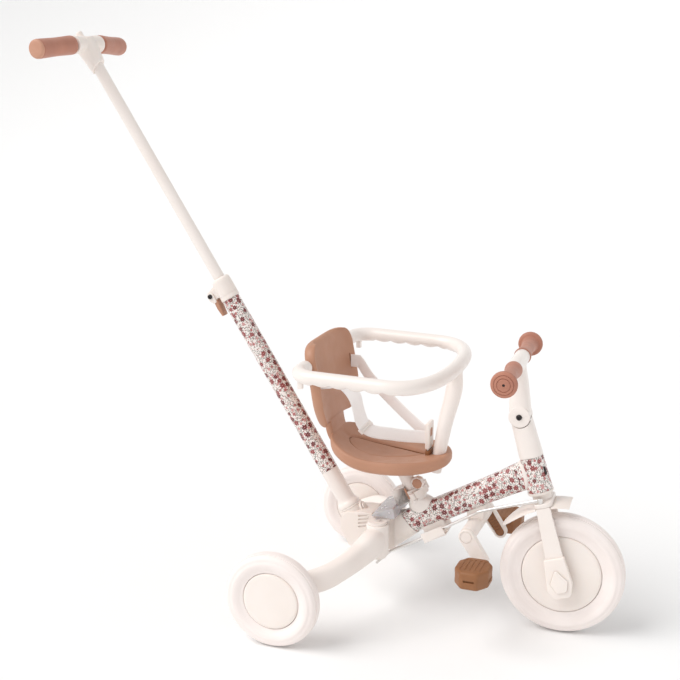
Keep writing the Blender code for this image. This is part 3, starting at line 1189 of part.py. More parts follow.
def harness():
    """Two straps from the back's slots meet in a buckle over the nose."""
    buckle_x = RING_LEG_FOOT_X - 0.0180
    low = SEAT_RIM_HIGH + 0.0110
    high = low + 0.0480
    inside = BACK_FOOT_X
    entry = BACK_FOOT_X + 0.0210
    end = buckle_x - 0.0048
    middle = (low + high) / 2
    strap("strap_left", [(inside, STRAP_SLOT_Y, STRAP_SLOT_Z), (entry, STRAP_SLOT_Y, STRAP_SLOT_Z),
                         (entry + 0.0310, STRAP_SLOT_Y * 0.80, STRAP_SLOT_Z - 0.0210),
                         (entry + 0.0930, STRAP_SLOT_Y * 0.39, STRAP_SLOT_Z - 0.0630),
                         (end - 0.0100, 0.0070, middle + 0.004), (end, 0.0065, middle + 0.004)])
    strap("strap_right", [(inside, -STRAP_SLOT_Y, STRAP_SLOT_Z),
                          (entry, -STRAP_SLOT_Y, STRAP_SLOT_Z),
                          (entry + 0.0170, -STRAP_SLOT_Y * 0.775, STRAP_SLOT_Z - 0.0390),
                          (entry + 0.0510, -STRAP_SLOT_Y * 0.475, STRAP_SLOT_Z - 0.0810),
                          (end - 0.0547, -STRAP_SLOT_Y * 0.25, middle - 0.003),
                          (end - 0.0100, -0.0070, middle - 0.004), (end, -0.0065, middle - 0.004)])
    buckle = place("buckle", prism(rounded([(buckle_x - 0.0040, low), (buckle_x + 0.0030, low),
                                            (buckle_x + 0.0030, high), (buckle_x - 0.0040, high)],
                                           0.0020), -0.0150, 0.0150), CREAM_PLASTIC, TRICYCLE)
    bevel(buckle, 0.0010, 1)
    strap_bm = box((buckle_x - STRAP_THICKNESS / 2, -STRAP_HALF_WIDTH, SEAT_RIM_HIGH - 0.0060),
                   (buckle_x + STRAP_THICKNESS / 2, STRAP_HALF_WIDTH, low - GAP))
    place("crotch_strap", strap_bm, WEBBING, TRICYCLE)


# Pedals

def pedal_bracket():
    """A web under the main tube with a wide cross barrel that holds both cranks."""
    c = math.cos(TUBE_SLOPE)
    top = TUBE_START_Z + (BOSS_X - TUBE_START_X) * math.tan(TUBE_SLOPE) - TUBE_HALF_HEIGHT / c
    outline = [(BOSS_X - 0.0120, BOSS_Z - 0.004), (BOSS_X + 0.0110, BOSS_Z - 0.004),
               (BOSS_X + 0.0180, top + 0.022), (BOSS_X - 0.0200, top + 0.012)]
    web = place("pedal_bracket", prism(outline, -BRACKET_HALF_WIDTH, BRACKET_HALF_WIDTH),
                CREAM_PLASTIC, TRICYCLE)
    half = CRANK_Y - RUN
    join(web, "barrel", drum(BOSS_RADIUS, -half, half, edge=0.0010, along="Y"),
         location=(BOSS_X, 0, BOSS_Z))
    cut(web, "under_tube", skin(tube_loops(0.05, tube_length(), GAP, 8)), TUBE_AXIS)
    for side, sign in SIDES:
        ends = sorted((sign * (half - STUB_LENGTH - 0.002), sign * 0.10))
        cut(web, "stub_bore_" + side, drum(STUB_RADIUS + RUN, ends[0], ends[1], MEDIUM, along="Y"),
            location=(BOSS_X, 0, BOSS_Z))


def rod_guide():
    """A channel under the main tube with a floor and an outer wall round the link rod."""
    inner = -WEB_HALF_WIDTH
    outer = -ROD_ARM - 0.0078
    start, end = 0.0420, 0.0860
    under = -TUBE_HALF_HEIGHT
    guide = place("rod_guide", box((start, inner, under - 0.0170), (end, -inner, under + 0.006)),
                  CREAM_PLASTIC, TUBE_AXIS)
    join(guide, "guide_floor", box((start, outer, under - 0.0171), (end, inner + 0.001, under - 0.0152)))
    join(guide, "guide_wall", box((start, outer, under - 0.0160), (end, outer + 0.0018, under)))
    cut(guide, "guide_seat", skin(tube_loops(0.0, 0.15, GAP, 2)), TUBE_AXIS)


def crank(side, sign):
    axis = empty("crank_axis_" + side, TRICYCLE, (BOSS_X, sign * CRANK_Y, BOSS_Z))
    dx = CRANK_LENGTH * math.cos(CRANK_ANGLE)
    dz = CRANK_LENGTH * math.sin(CRANK_ANGLE)
    ends = sorted((0.0, sign * CRANK_THICKNESS))
    arm = place("crank_" + side, crank_bm(dx, dz, ends), CREAM_PLASTIC, axis)
    ends = sorted((-sign * (STUB_LENGTH - 0.001), sign * 0.004))
    join(arm, "crank_stub_" + side, drum(STUB_RADIUS, ends[0], ends[1], MEDIUM, along="Y"))
    tip = PEDAL_INNER - CRANK_Y + PEDAL_WIDTH - 0.010
    ends = sorted((sign * 0.004, sign * tip))
    join(arm, "spindle_" + side, drum(SPINDLE_RADIUS, ends[0], ends[1], SMALL, along="Y"),
         location=(dx, 0, dz))
    pedal_axis = empty("pedal_axis_" + side, axis, (dx, 0, dz))
    inner = sign * (PEDAL_INNER - CRANK_Y)
    block = pedal_bm(inner, inner + sign * PEDAL_WIDTH)
    pedal = place("pedal_" + side, block, TAN_PEDAL, pedal_axis)
    bevel(pedal, 0.0040, 1)
    bore = sorted((inner - sign * 0.01, inner + sign * (PEDAL_WIDTH - 0.0090)))
    cut(pedal, "spindle_bore_" + side,
        drum(SPINDLE_RADIUS + RUN, bore[0], bore[1], SMALL, along="Y"))
    for level in (1, -1):
        shallow = sorted((level * (PEDAL_HEIGHT / 2 - 0.0040), level * 0.03))
        span = sorted((inner + sign * 0.014, inner + sign * (PEDAL_WIDTH - 0.014)))
        cut(pedal, "tread_%s_%d" % (side, level + 2),
            box((-0.0180, span[0], shallow[0]), (0.0180, span[1], shallow[1])))


def crank_bm(dx, dz, ends):
    """A link with two round ends."""
    outline = []
    slope = math.atan2(dz, dx)
    for middle, radius, facing in (((0, 0), BOSS_RADIUS, math.pi), ((dx, dz), 0.0125, 0.0)):
        for k in range(7):
            turn = slope + facing + math.pi * (k / 6 - 0.5)
            outline.append((middle[0] + radius * math.cos(turn),
                            middle[1] + radius * math.sin(turn)))
    return prism(outline, ends[0], ends[1])


def pedal_bm(low, high):
    half_x, half_z = PEDAL_LENGTH / 2, PEDAL_HEIGHT / 2
    outline = rounded([(-half_x, -half_z), (half_x, -half_z), (half_x, half_z), (-half_x, half_z)],
                      0.010)
    return prism(outline, *sorted((low, high)))


# Link rod

def link_rod():
    """A bent rod from the crown's pin, back under the main tube to the pole swivel."""
    c, s = math.cos(HEAD_LEAN), math.sin(HEAD_LEAN)
    turned_x = ROD_ARM * math.sin(PARKED_STEER)
    pin_y = -ROD_ARM * math.cos(PARKED_STEER)
    height = CROWN_BOTTOM + CROWN_THICKNESS + 0.0050
    pin_x = WHEELBASE + turned_x * c - height * s
    pin_z = FRONT_AXLE_Z + turned_x * s + height * c
    axis = empty("link_rod_axis", TRICYCLE, (pin_x, pin_y, pin_z), (0, -HEAD_LEAN, 0))
    over = 0.0240
    path = [(pin_x, pin_z), (pin_x - over * c, pin_z - over * s + 0.0002), (0.3180, 0.2160),
            (0.3000, 0.2062), (0.2400, 0.1682), (0.1974, 0.1412), (0.1560, 0.1180),
            (0.1440, 0.1100), (0.1200, 0.0850)]
    radii = [0.0042, 0.0040, 0.0030, 0.0030, 0.0030, 0.0030, 0.0030, 0.0030, 0.0030]
    points = [(x - pin_x, 0, z - pin_z) for x, z in path]

    def section(k):
        return ellipse(0.0030, radii[k], SMALL)

    bar = place("link_rod", sweep(points, section), STEEL, None)
    bar.parent = axis
    bar.rotation_euler = (0, HEAD_LEAN, 0)
    join(bar, "rod_eye", drum(0.0050, GAP - 0.0050, 0.0046, SMALL), axis)
    join(bar, "rod_pin", drum(PIN_RADIUS, -0.0050 - CROWN_THICKNESS + 0.001, 0.0, SMALL), axis)


front_wheel()
fork()
mudguard()
head()
main_tube()
stem()
handlebar()
rear_housing()
housing_nose()
release_button()
pole_swivel()
pole_tubes()
pole_collar()
push_handle()
seat_clamp()
seat_shell()
backrest()
safety_ring()
harness()
pedal_bracket()
rod_guide()
link_rod()
for side_name, side_sign in SIDES:
    rear_wheel(side_name, side_sign)
    rear_leg(side_name, side_sign)
    leg_bolt(side_name, side_sign)
    crank(side_name, side_sign)
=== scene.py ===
"""Looks of the convertible tricycle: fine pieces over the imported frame, studio light and camera.

Metres, +Z up, rolling towards +X. Pieces are laid out from the rear axle, as the frame is.
"""

import math

import bmesh
import bpy
from mathutils import Matrix, Vector


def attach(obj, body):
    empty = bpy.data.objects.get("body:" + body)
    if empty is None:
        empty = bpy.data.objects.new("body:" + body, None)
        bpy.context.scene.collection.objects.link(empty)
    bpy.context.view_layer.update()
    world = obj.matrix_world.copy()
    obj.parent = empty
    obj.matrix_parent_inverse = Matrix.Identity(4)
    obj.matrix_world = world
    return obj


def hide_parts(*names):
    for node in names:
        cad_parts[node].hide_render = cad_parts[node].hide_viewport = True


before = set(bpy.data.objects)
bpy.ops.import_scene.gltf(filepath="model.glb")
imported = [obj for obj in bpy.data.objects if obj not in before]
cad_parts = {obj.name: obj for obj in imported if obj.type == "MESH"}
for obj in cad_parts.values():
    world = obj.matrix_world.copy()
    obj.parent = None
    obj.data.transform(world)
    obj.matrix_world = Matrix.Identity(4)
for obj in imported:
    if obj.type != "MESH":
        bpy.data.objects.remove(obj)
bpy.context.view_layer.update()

FINE = 64                       # sides of a round piece that shows
PLAIN = 32

# Wheels
WHEELBASE = 0.458
REAR_TRACK = 0.463
FRONT = (0.110, 0.0195, 0.0705)  # radius, half width, disc radius
REAR = (0.0855, 0.0170, 0.0515)
TREAD_HALF = 0.0070
TYRE_BULGE = 0.0155
BOSS_RADIUS = 0.0110

# Steering head
HEAD_LEAN = math.radians(16.8)
PARKED_STEER = math.radians(4.0)
HEAD_BOTTOM = 0.1560
HEAD_TOP = 0.2185
HEAD_RADIUS_LOW = 0.0225
HEAD_RADIUS_HIGH = 0.0207
CROWN_BOTTOM = 0.1310
CROWN_TOP = 0.1390
BLADE_INNER = 0.0270
BLADE_OUTER = 0.0325
STEM_BOLT_HEIGHT = 0.2945
STEM_HALF_WIDTH = 0.0170
STEM_HALF_DEPTH = 0.0190
TONGUE_HALF = 0.0085
BAR_TILT = math.radians(12.0)
BAR_RISE = 0.0930
BAR_HUB_HALF = 0.0475
BAR_HALF = 0.1560
GUARD_RADIUS = 0.1345
GUARD_HALF_WIDTH = 0.0330

# Main tube, housing and legs
TUBE_SLOPE = math.radians(29.2)
TUBE_START = (0.1580, 0.1560)
TUBE_HALF_HEIGHT = 0.0225
TUBE_HALF_WIDTH = 0.0172
PLATE_LOW = 0.1105
PLATE_HIGH = 0.1805
BODY_HALF_WIDTH = 0.0265
WEB_HALF_WIDTH = 0.0150
HOUSING_FRONT = 0.1500
BUTTON_HALF_WIDTH = 0.0440
LEG_PIVOT_X = 0.1300
LEG_PIVOT_Y = 0.0520
LEG_END_Y = 0.2035

# Push pole
POLE_LEAN = math.radians(32.0)
SOCKET_X = 0.0592
SOCKET_Z = 0.1770
SOCKET_RADIUS = 0.0230
POLE_RADIUS = 0.0165
UPPER_RADIUS = 0.0107
SLEEVE_TOP = 0.0810
PRINT_TOP = 0.4480
COLLAR_TOP = 0.4915
COLLAR_BOLT = (-0.0310, 0.0, 0.4700)
HANDLE_HEIGHT = 0.9870
HANDLE_HALF = 0.1430
HANDLE_SWEEP = 0.0125
HANDLE_DROP = 0.0060
HANDLE_HUB_HALF = 0.0430
HANDLE_GRIP_RADIUS = 0.0172
SNAP_DEPTH = 0.0093

# Seat, ring and harness
POST_PLACE = 0.0545
POST_RADIUS = 0.0130
CLAMP_HEIGHT = 0.0330
SEAT_REAR = 0.0300
SEAT_NOSE = 0.2490
SEAT_MIDDLE = 0.1300
SEAT_HALF_WIDTH = 0.0845
RIM_LOW = 0.2820
RIM_HIGH = 0.3020
SEAT_BELLY = 0.2600
BACK_FOOT = (0.0260, 0.3490)
BACK_HEIGHT = 0.1530
BACK_CORNER = 0.0290
BACK_LEAN = 0.0250
BACK_HALF_WIDTH = 0.0965
BACK_THICKNESS = 0.0170
BACK_WRAP = 0.0165
RING_HEIGHT = 0.4700
RING_REAR = 0.0130
RING_STRAIGHT_END = 0.1700
RING_FRONT = 0.2550
RING_HALF_WIDTH = 0.1640
RING_RADIUS = 0.0128
RING_CORNER = 0.0380
RING_END_Y = 0.1030
SCALLOP_PITCH = 0.0310
RING_LEG_X = 0.2275
RING_LEG_RADIUS = 0.0112
STRAP_HALF_WIDTH = 0.0120
STRAP_SLOT = (0.0800, 0.4372)

# Pedals and link rod
PEDAL_BOSS = (0.3006, 0.1820)
CRANK_Y = 0.0640
CRANK_LENGTH = 0.0500
CRANK_ANGLE = math.radians(-55.5)
PEDAL_INNER = 0.0950
PEDAL_WIDTH = 0.0680
ROD_ARM = 0.0270

SIDES = (("left", 1), ("right", -1))


def shift(x, y, z):
    return Matrix.Translation((x, y, z))


def turn(angle, axis):
    return Matrix.Rotation(angle, 4, axis)


CAMBER = math.asin(math.sin(HEAD_LEAN) * math.sin(PARKED_STEER))
FRONT_AXLE_Z = FRONT[0] * math.cos(CAMBER) + TREAD_HALF * math.sin(CAMBER)
HANDLE_BACK = SOCKET_X - HANDLE_HEIGHT * math.sin(POLE_LEAN) - HANDLE_SWEEP - HANDLE_GRIP_RADIUS
MIDDLE_X = (WHEELBASE + FRONT[0] + HANDLE_BACK) / 2

BASE = shift(-MIDDLE_X, 0, 0)
HEAD = BASE @ shift(WHEELBASE, 0, FRONT_AXLE_Z) @ turn(-HEAD_LEAN, "Y")
STEER = HEAD @ turn(PARKED_STEER, "Z")
FRONT_WHEEL = STEER @ turn(HEAD_LEAN, "Y")
BAR = STEER @ shift(0, 0, STEM_BOLT_HEIGHT) @ turn(BAR_TILT, "Y")
TUBE = BASE @ shift(TUBE_START[0], 0, TUBE_START[1]) @ turn(-TUBE_SLOPE, "Y")
POST = TUBE @ shift(POST_PLACE, 0, TUBE_HALF_HEIGHT)
POLE = BASE @ shift(SOCKET_X, 0, SOCKET_Z) @ turn(-POLE_LEAN, "Y")
HANDLE = POLE @ shift(0, 0, HANDLE_HEIGHT) @ turn(POLE_LEAN, "Y")
SNAP = POLE @ shift(0, 0, -SNAP_DEPTH)


# Materials

class Finish:
    """A Principled material with short calls for its nodes."""

    def __init__(self, slot, colour, roughness, **sockets):
        self.slot = slot
        self.material = bpy.data.materials.new(slot + "_finish")
        self.material.use_nodes = True
        self.tree = self.material.node_tree
        self.shader = self.tree.nodes["Principled BSDF"]
        self.colour = (*colour, 1.0)
        self.shader.inputs["Base Color"].default_value = self.colour
        self.shader.inputs["Roughness"].default_value = roughness
        for name, value in sockets.items():
            self.shader.inputs[name.replace("_", " ")].default_value = value
        self.heights = []

    def node(self, kind, inputs, **settings):
        made = self.tree.nodes.new("ShaderNode" + kind)
        for name, value in settings.items():
            setattr(made, name, value)
        for key, value in inputs.items():
            if isinstance(value, bpy.types.NodeSocket):
                self.tree.links.new(value, made.inputs[key])
            else:
                made.inputs[key].default_value = value
        return made

    def sum(self, operation, a, b=0.0):
        return self.node("Math", {0: a, 1: b}, operation=operation).outputs[0]

    def mix(self, share, a, b):
        return self.node("Mix", {0: share, 6: a, 7: b}, data_type="RGBA").outputs[2]

    def place(self):
        """Metres, fixed to the piece."""
        return self.node("TexCoord", {}).outputs["Object"]

    def noise(self, scale, detail=2.0, where=None):
        inputs = {"Vector": where or self.place(), "Scale": scale, "Detail": detail}
        return self.node("TexNoise", inputs).outputs["Fac"]

    def ramp(self, value, low, high, start=0.0, end=1.0):
        inputs = {0: value, 1: low, 2: high, 3: start, 4: end}
        return self.node("MapRange", inputs).outputs[0]

    def tinted(self, other, scale, low=0.35, high=0.70):
        """Soft patches of another colour."""
        share = self.ramp(self.noise(scale), low, high)
        self.paint(self.mix(share, self.colour, (*other, 1.0)))

    def paint(self, socket):
        self.tree.links.new(socket, self.shader.inputs["Base Color"])

    def rough(self, low, high, scale):
        value = self.ramp(self.noise(scale, 3.0), 0.3, 0.7, low, high)
        self.tree.links.new(value, self.shader.inputs["Roughness"])

    def bump(self, height, depth, strength=1.0):
        """Adds a height in units of depth metres under the ones before it."""
        inputs = {"Height": height, "Distance": depth, "Strength": strength}
        if self.heights:
            inputs["Normal"] = self.heights[-1]
        made = self.node("Bump", inputs).outputs["Normal"]
        self.heights.append(made)
        self.tree.links.new(made, self.shader.inputs["Normal"])


def satin_paint():
    made = Finish("cream_paint", (0.90, 0.83, 0.785), 0.34, Coat_Weight=0.25, Coat_Roughness=0.12)
    made.tinted((0.88, 0.80, 0.75), 9.0)
    made.rough(0.28, 0.42, 40.0)
    made.bump(made.noise(900.0, 3.0), 0.00006, 0.5)
    return made


def moulded(slot, colour, other, roughness, grain=0.00010):
    """Plastic from a fine spark-eroded mould."""
    made = Finish(slot, colour, roughness, Subsurface_Weight=0.06, Subsurface_Scale=0.004)
    made.shader.inputs["Subsurface Radius"].default_value = (1.0, 0.7, 0.5)
    made.tinted(other, 14.0)
    made.rough(roughness - 0.06, roughness + 0.08, 60.0)
    made.bump(made.noise(2200.0, 4.0), grain, 0.6)
    return made


def tyre_foam():
    """Closed-cell foam: a fine open skin with small pits and rubbed patches."""
    made = Finish("cream_foam", (0.92, 0.845, 0.815), 0.55, Sheen_Weight=0.12, Sheen_Roughness=0.5)
    made.tinted((0.90, 0.815, 0.78), 22.0)
    made.rough(0.48, 0.66, 55.0)
    cells = made.node("TexVoronoi", {"Vector": made.place(), "Scale": 1400.0})
    made.bump(cells.outputs["Distance"], 0.00012, 0.5)
    made.bump(made.noise(350.0, 3.0), 0.00012, 0.5)
    return made


def rubber_grip():
    made = Finish("tan_grip", (0.485, 0.205, 0.135), 0.58, Sheen_Weight=0.15)
    made.tinted((0.43, 0.18, 0.12), 30.0)
    made.rough(0.50, 0.68, 80.0)
    made.bump(made.noise(1500.0, 4.0), 0.00012, 0.6)
    return made


def flower_print():
    """A small generic print: round daisies, berries and leaf pairs in a loose scatter."""
    made = Finish("printed_paint", (0.90, 0.835, 0.80), 0.34, Coat_Weight=0.35, Coat_Roughness=0.10)
    cloth = made.node("TexCoord", {}).outputs["UV"]

    def scatter(scale, seed, randomness):
        """Angle, radius and three random numbers of the nearest motif's own place."""
        moved = made.node("VectorMath", {0: cloth, 1: (seed, seed * 0.7, 0.0)}).outputs[0]
        cells = made.node("TexVoronoi", {"Vector": moved, "Scale": scale, "Randomness": randomness},
                          voronoi_dimensions="2D")
        local = made.node("VectorMath", {0: moved, 1: cells.outputs["Position"]},
                          operation="SUBTRACT").outputs[0]
        split = made.node("SeparateXYZ", {0: local})
        dice = made.node("SeparateColor", {0: cells.outputs["Color"]})
        facing = made.sum("MULTIPLY", dice.outputs[2], 2 * math.pi)
        angle = made.sum("ADD", made.sum("ARCTAN2", split.outputs[1], split.outputs[0]), facing)
        radius = made.node("VectorMath", {0: local}, operation="LENGTH").outputs["Value"]
        return angle, radius, dice.outputs[0], dice.outputs[1]

    def leaves(scale, seed, length, width, shown):
        angle, radius, first, second = scatter(scale, seed, 0.9)
        x = made.sum("ABSOLUTE", made.sum("MULTIPLY", radius, made.sum("COSINE", angle)))
        y = made.sum("MULTIPLY", radius, made.sum("SINE", angle))
        y = made.sum("SUBTRACT", y, made.sum("MULTIPLY", x, 0.55))
        x = made.sum("DIVIDE", made.sum("SUBTRACT", x, length), length)
        edge = made.sum("SUBTRACT", 1.0, made.sum("MULTIPLY", x, x))
        inside = made.sum("LESS_THAN", made.sum("ABSOLUTE", y), made.sum("MULTIPLY", edge, width))
        return made.sum("MULTIPLY", inside, made.sum("LESS_THAN", first, shown)), second

    def daisy(scale, seed, size, petals, shown, randomness):
        angle, radius, first, second = scatter(scale, seed, randomness)
        ripple = made.sum("ABSOLUTE", made.sum("COSINE", made.sum("MULTIPLY", angle, petals / 2)))
        ripple = made.sum("POWER", ripple, 0.6)
        grown = made.ramp(second, 0.0, 1.0, size * 0.72, size)
        reach = made.sum("MULTIPLY", grown, made.ramp(ripple, 0.0, 1.0, 0.46, 1.0))
        chosen = made.sum("LESS_THAN", first, shown)
        inside = made.sum("MULTIPLY", made.sum("LESS_THAN", radius, reach), chosen)
        heart = made.sum("LESS_THAN", radius, made.sum("MULTIPLY", grown, 0.15))
        return inside, heart, first

    colour = made.colour
    sprigs, shade = leaves(165.0, 3.1, 0.0019, 0.00085, 0.92)
    sage = made.mix(shade, (0.085, 0.105, 0.08, 1.0), (0.27, 0.28, 0.235, 1.0))
    colour = made.mix(sprigs, colour, sage)
    twigs, shade = leaves(215.0, 8.7, 0.0014, 0.00070, 0.85)
    colour = made.mix(twigs, colour, (0.30, 0.27, 0.24, 1.0))
    for scale, seed, size, petals, shown, randomness, dark, light in (
            (210.0, 5.3, 0.0012, 2, 0.45, 1.0, (0.46, 0.12, 0.12, 1.0), (0.46, 0.12, 0.12, 1.0)),
            (105.0, 1.7, 0.0035, 6, 0.60, 0.9, (0.45, 0.13, 0.13, 1.0), (0.62, 0.31, 0.30, 1.0)),
            (68.0, 6.9, 0.0058, 6, 0.66, 0.75, (0.165, 0.022, 0.025, 1.0), (0.30, 0.058, 0.060, 1.0))):
        inside, heart, pick = daisy(scale, seed, size, petals, shown, randomness)
        petal = made.mix(made.sum("GREATER_THAN", pick, shown * 0.5), dark, light)
        petal = made.mix(heart, petal, (0.62, 0.36, 0.30, 1.0))
        colour = made.mix(inside, colour, petal)
    made.paint(colour)
    made.rough(0.28, 0.42, 40.0)
    made.bump(made.noise(900.0, 3.0), 0.00006, 0.5)
    return made


def lens_plastic():
    made = Finish("grey_lens", (0.80, 0.75, 0.765), 0.22, Transmission_Weight=0.35, IOR=1.46,
                  Subsurface_Weight=0.1)
    made.tinted((0.70, 0.66, 0.68), 30.0)
    made.rough(0.16, 0.30, 70.0)
    made.bump(made.noise(400.0, 2.0), 0.00010, 0.5)
    return made


def woven_tape():
    """Flat polyester webbing: a herringbone of ribs from the piece's own lengthwise layout."""
    made = Finish("webbing", (0.99, 0.96, 0.945), 0.82, Sheen_Weight=0.35, Sheen_Roughness=0.4)
    tape = made.node("TexCoord", {}).outputs["UV"]
    split = made.node("SeparateXYZ", {0: tape})
    across, along = split.outputs[0], split.outputs[1]
    ribs = made.sum("SINE", made.sum("MULTIPLY", across, 2 * math.pi / 0.0016))
    slant = made.sum("MULTIPLY", made.sum("PINGPONG", across, 0.0032), 1.0)
    picks = made.sum("SINE", made.sum("MULTIPLY", made.sum("ADD", along, slant),
                                      2 * math.pi / 0.0011))
    height = made.sum("ADD", made.sum("MULTIPLY", ribs, 0.5), made.sum("MULTIPLY", picks, 0.5))
    weave_height = made.ramp(height, -1.0, 1.0)
    # The colour is darker in the weave's valleys than on its ridges: painted shade in the weave.
    made.paint(made.mix(weave_height, (0.94, 0.885, 0.865, 1.0), made.colour))
    made.bump(weave_height, 0.00025, 0.8)
    made.bump(made.noise(600.0, 3.0), 0.00015, 0.4)
    return made


def metal(slot, colour, low, high, metallic, brushed):
    made = Finish(slot, colour, low, Metallic=metallic)
    stretched = made.node("Mapping", {"Vector": made.place(), "Scale": (1.0, brushed, 1.0)})
    streaks = made.noise(260.0, 4.0, stretched.outputs[0])
    made.tree.links.new(made.ramp(streaks, 0.3, 0.7, low, high), made.shader.inputs["Roughness"])
    made.bump(streaks, 0.00003, 0.5)
    return made


PAINT = satin_paint()
PLASTIC = moulded("cream_plastic", (0.90, 0.825, 0.775), (0.87, 0.79, 0.735), 0.44)
FOAM = tyre_foam()
TAN = moulded("tan_plastic", (0.515, 0.262, 0.165), (0.47, 0.235, 0.145), 0.50, 0.00014)
GRIP = rubber_grip()
PEDAL = moulded("tan_pedal", (0.295, 0.122, 0.045), (0.25, 0.10, 0.037), 0.52, 0.00014)
PRINT = flower_print()
LENS = lens_plastic()
WEBBING = woven_tape()
STEEL = metal("steel", (0.78, 0.76, 0.74), 0.26, 0.42, 0.92, 8.0)
BLACK = metal("black_steel", (0.035, 0.03, 0.03), 0.35, 0.50, 0.5, 1.0)


# Mesh helpers

def turned(profile, sides=FINE, ring=False, along="Z"):
    """Spins (radius, height) points round the Z axis, or then laid along Y or X."""
    bm = bmesh.new()
    verts = [bm.verts.new((r, 0.0, h)) for r, h in profile]
    edges = [bm.edges.new(pair) for pair in zip(verts, verts[1:])]
    if ring:
        edges.append(bm.edges.new((verts[-1], verts[0])))
    bmesh.ops.spin(bm, geom=verts + edges, cent=(0, 0, 0), axis=(0, 0, 1), dvec=(0, 0, 0),
                   angle=2 * math.pi, steps=sides, use_merge=True, use_duplicate=False)
    bmesh.ops.remove_doubles(bm, verts=bm.verts, dist=1e-7)
    if along == "Y":
        bm.transform(turn(-math.pi / 2, "X"))
    if along == "X":
        bm.transform(turn(math.pi / 2, "Y"))
    return bm


def drum(radius, low, high, sides=FINE, along="Z", edge=0.0004):
    """A cylinder with its two rims rounded."""
    profile = [(0.0, low), (radius - edge, low)]
    for end, facing in ((low + edge, -1), (high - edge, 1)):
        arc = [(radius - edge + edge * math.cos(a), end + facing * edge * math.sin(a))
               for a in (math.radians(15 * k) for k in range(6))]
        profile += arc[::-1] if facing < 0 else arc
    profile += [(radius - edge, high), (0.0, high)]
    return turned(profile, sides, along=along)


def mirrored(half):
    """A profile and its mirror image below height zero."""
    return half + [(r, -h) for r, h in reversed(half)]


def arc(middle, radius, start, end, steps):
    """Points on an arc, with angles in degrees."""
    points = []
    for k in range(steps + 1):
        angle = math.radians(start + (end - start) * k / steps)
        points.append((middle[0] + radius[0] * math.cos(angle),
                       middle[1] + radius[1] * math.sin(angle)))
    return points


def rod(start, end, radius, sides=PLAIN):
    start = Vector(start)
    span = Vector(end) - start
    bm = drum(radius, 0.0, span.length, sides, edge=min(0.0004, radius * 0.2))
    bm.transform(Matrix.Translation(start) @ span.to_track_quat("Z", "X").to_matrix().to_4x4())
    return bm


def rounded(corners, radius, steps=8):
    """A closed outline with each corner cut to an arc."""
    outline = []
    count = len(corners)
    for index, corner in enumerate(corners):
        here = Vector(corner)
        before = Vector(corners[index - 1]) - here
        after = Vector(corners[(index + 1) % count]) - here
        wanted = radius[index] if isinstance(radius, (list, tuple)) else radius
        half = before.angle(after) / 2
        reach = min(wanted / math.tan(half), 0.49 * before.length, 0.49 * after.length)
        bend = reach * math.tan(half)
        middle = here + (before.normalized() + after.normalized()).normalized() * (
            bend / math.sin(half))
        first = here + before.normalized() * reach - middle
        last = here + after.normalized() * reach - middle
        swing = math.atan2(first.cross(last), first.dot(last))
        for step in range(steps + 1):
            c, s = math.cos(swing * step / steps), math.sin(swing * step / steps)
            outline.append((middle.x + first.x * c - first.y * s,
                            middle.y + first.x * s + first.y * c))
    return outline


def ellipse(half_x, half_y, sides=FINE, power=2.0, start=0.0):
    """A superellipse: power 2 is an ellipse and more is squarer."""
    outline = []
    for k in range(sides):
        angle = 2 * math.pi * k / sides + start
        c, s = math.cos(angle), math.sin(angle)
        outline.append((half_x * math.copysign(abs(c) ** (2 / power), c),
                        half_y * math.copysign(abs(s) ** (2 / power), s)))
    return outline


def skin(loops):
    """A closed solid through loops of equal count, laid out in metres round and along it."""
    bm = bmesh.new()
    layout = bm.loops.layers.uv.new("UVMap")
    rows = [[bm.verts.new(point) for point in loop] for loop in loops]
    count = len(loops[0])
    middle = loops[len(loops) // 2]
    around, along = [0.0], [0.0]
    for k in range(count):
        around.append(around[-1] + (Vector(middle[(k + 1) % count]) - Vector(middle[k])).length)
    centres = [sum((Vector(p) for p in loop), Vector()) / count for loop in loops]
    for low, high in zip(centres, centres[1:]):
        along.append(along[-1] + (high - low).length)
    for i, (low, high) in enumerate(zip(rows, rows[1:])):
        for k in range(count):
            n = (k + 1) % count
            face = bm.faces.new((low[k], low[n], high[n], high[k]))
            corners = ((around[k], along[i]), (around[k + 1], along[i]),
                       (around[k + 1], along[i + 1]), (around[k], along[i + 1]))
            for loop, corner in zip(face.loops, corners):
                loop[layout].uv = corner
    bm.faces.new(rows[0][::-1])
    bm.faces.new(rows[-1])
    return bm


def prism(outline, low, high, along="Y"):
    """Extrudes an outline: (x, z) along Y, (x, y) along Z or (y, z) along X."""
    if along == "Y":
        return skin([[(a, d, b) for a, b in outline] for d in (low, high)])
    if along == "Z":
        return skin([[(a, b, d) for a, b in outline] for d in (low, high)])
    return skin([[(d, a, b) for a, b in outline] for d in (low, high)])


def box(low, high):
    (x0, y0, z0), (x1, y1, z1) = low, high
    return prism([(x0, y0), (x1, y0), (x1, y1), (x0, y1)], z0, z1, "Z")


def smooth_path(points, steps):
    """A Catmull-Rom curve through points of any dimension."""
    points = [Vector(point) for point in points]
    padded = [2 * points[0] - points[1]] + points + [2 * points[-1] - points[-2]]
    path = []
    for a, b, c, d in zip(padded, padded[1:], padded[2:], padded[3:]):
        for k in range(steps):
            t = k / steps
            path.append(0.5 * (2 * b + (c - a) * t + (2 * a - 5 * b + 4 * c - d) * t ** 2
                               + (3 * b - a - 3 * c + d) * t ** 3))
    path.append(points[-1])
    return path


def sweep(path, section, up=(0, 0, 1)):
    """Carries a section along a path: section(k) gives (side, up) points at station k."""
    up = Vector(up)
    path = [Vector(point) for point in path]
    loops = []
    for k, point in enumerate(path):
        tangent = (path[min(k + 1, len(path) - 1)] - path[max(k - 1, 0)]).normalized()
        side = tangent.cross(up).normalized()
        rise = side.cross(tangent)
        loops.append([point + side * a + rise * b for a, b in section(k)])
    return skin(loops)


def between(low, high, share):
    return low + (high - low) * share


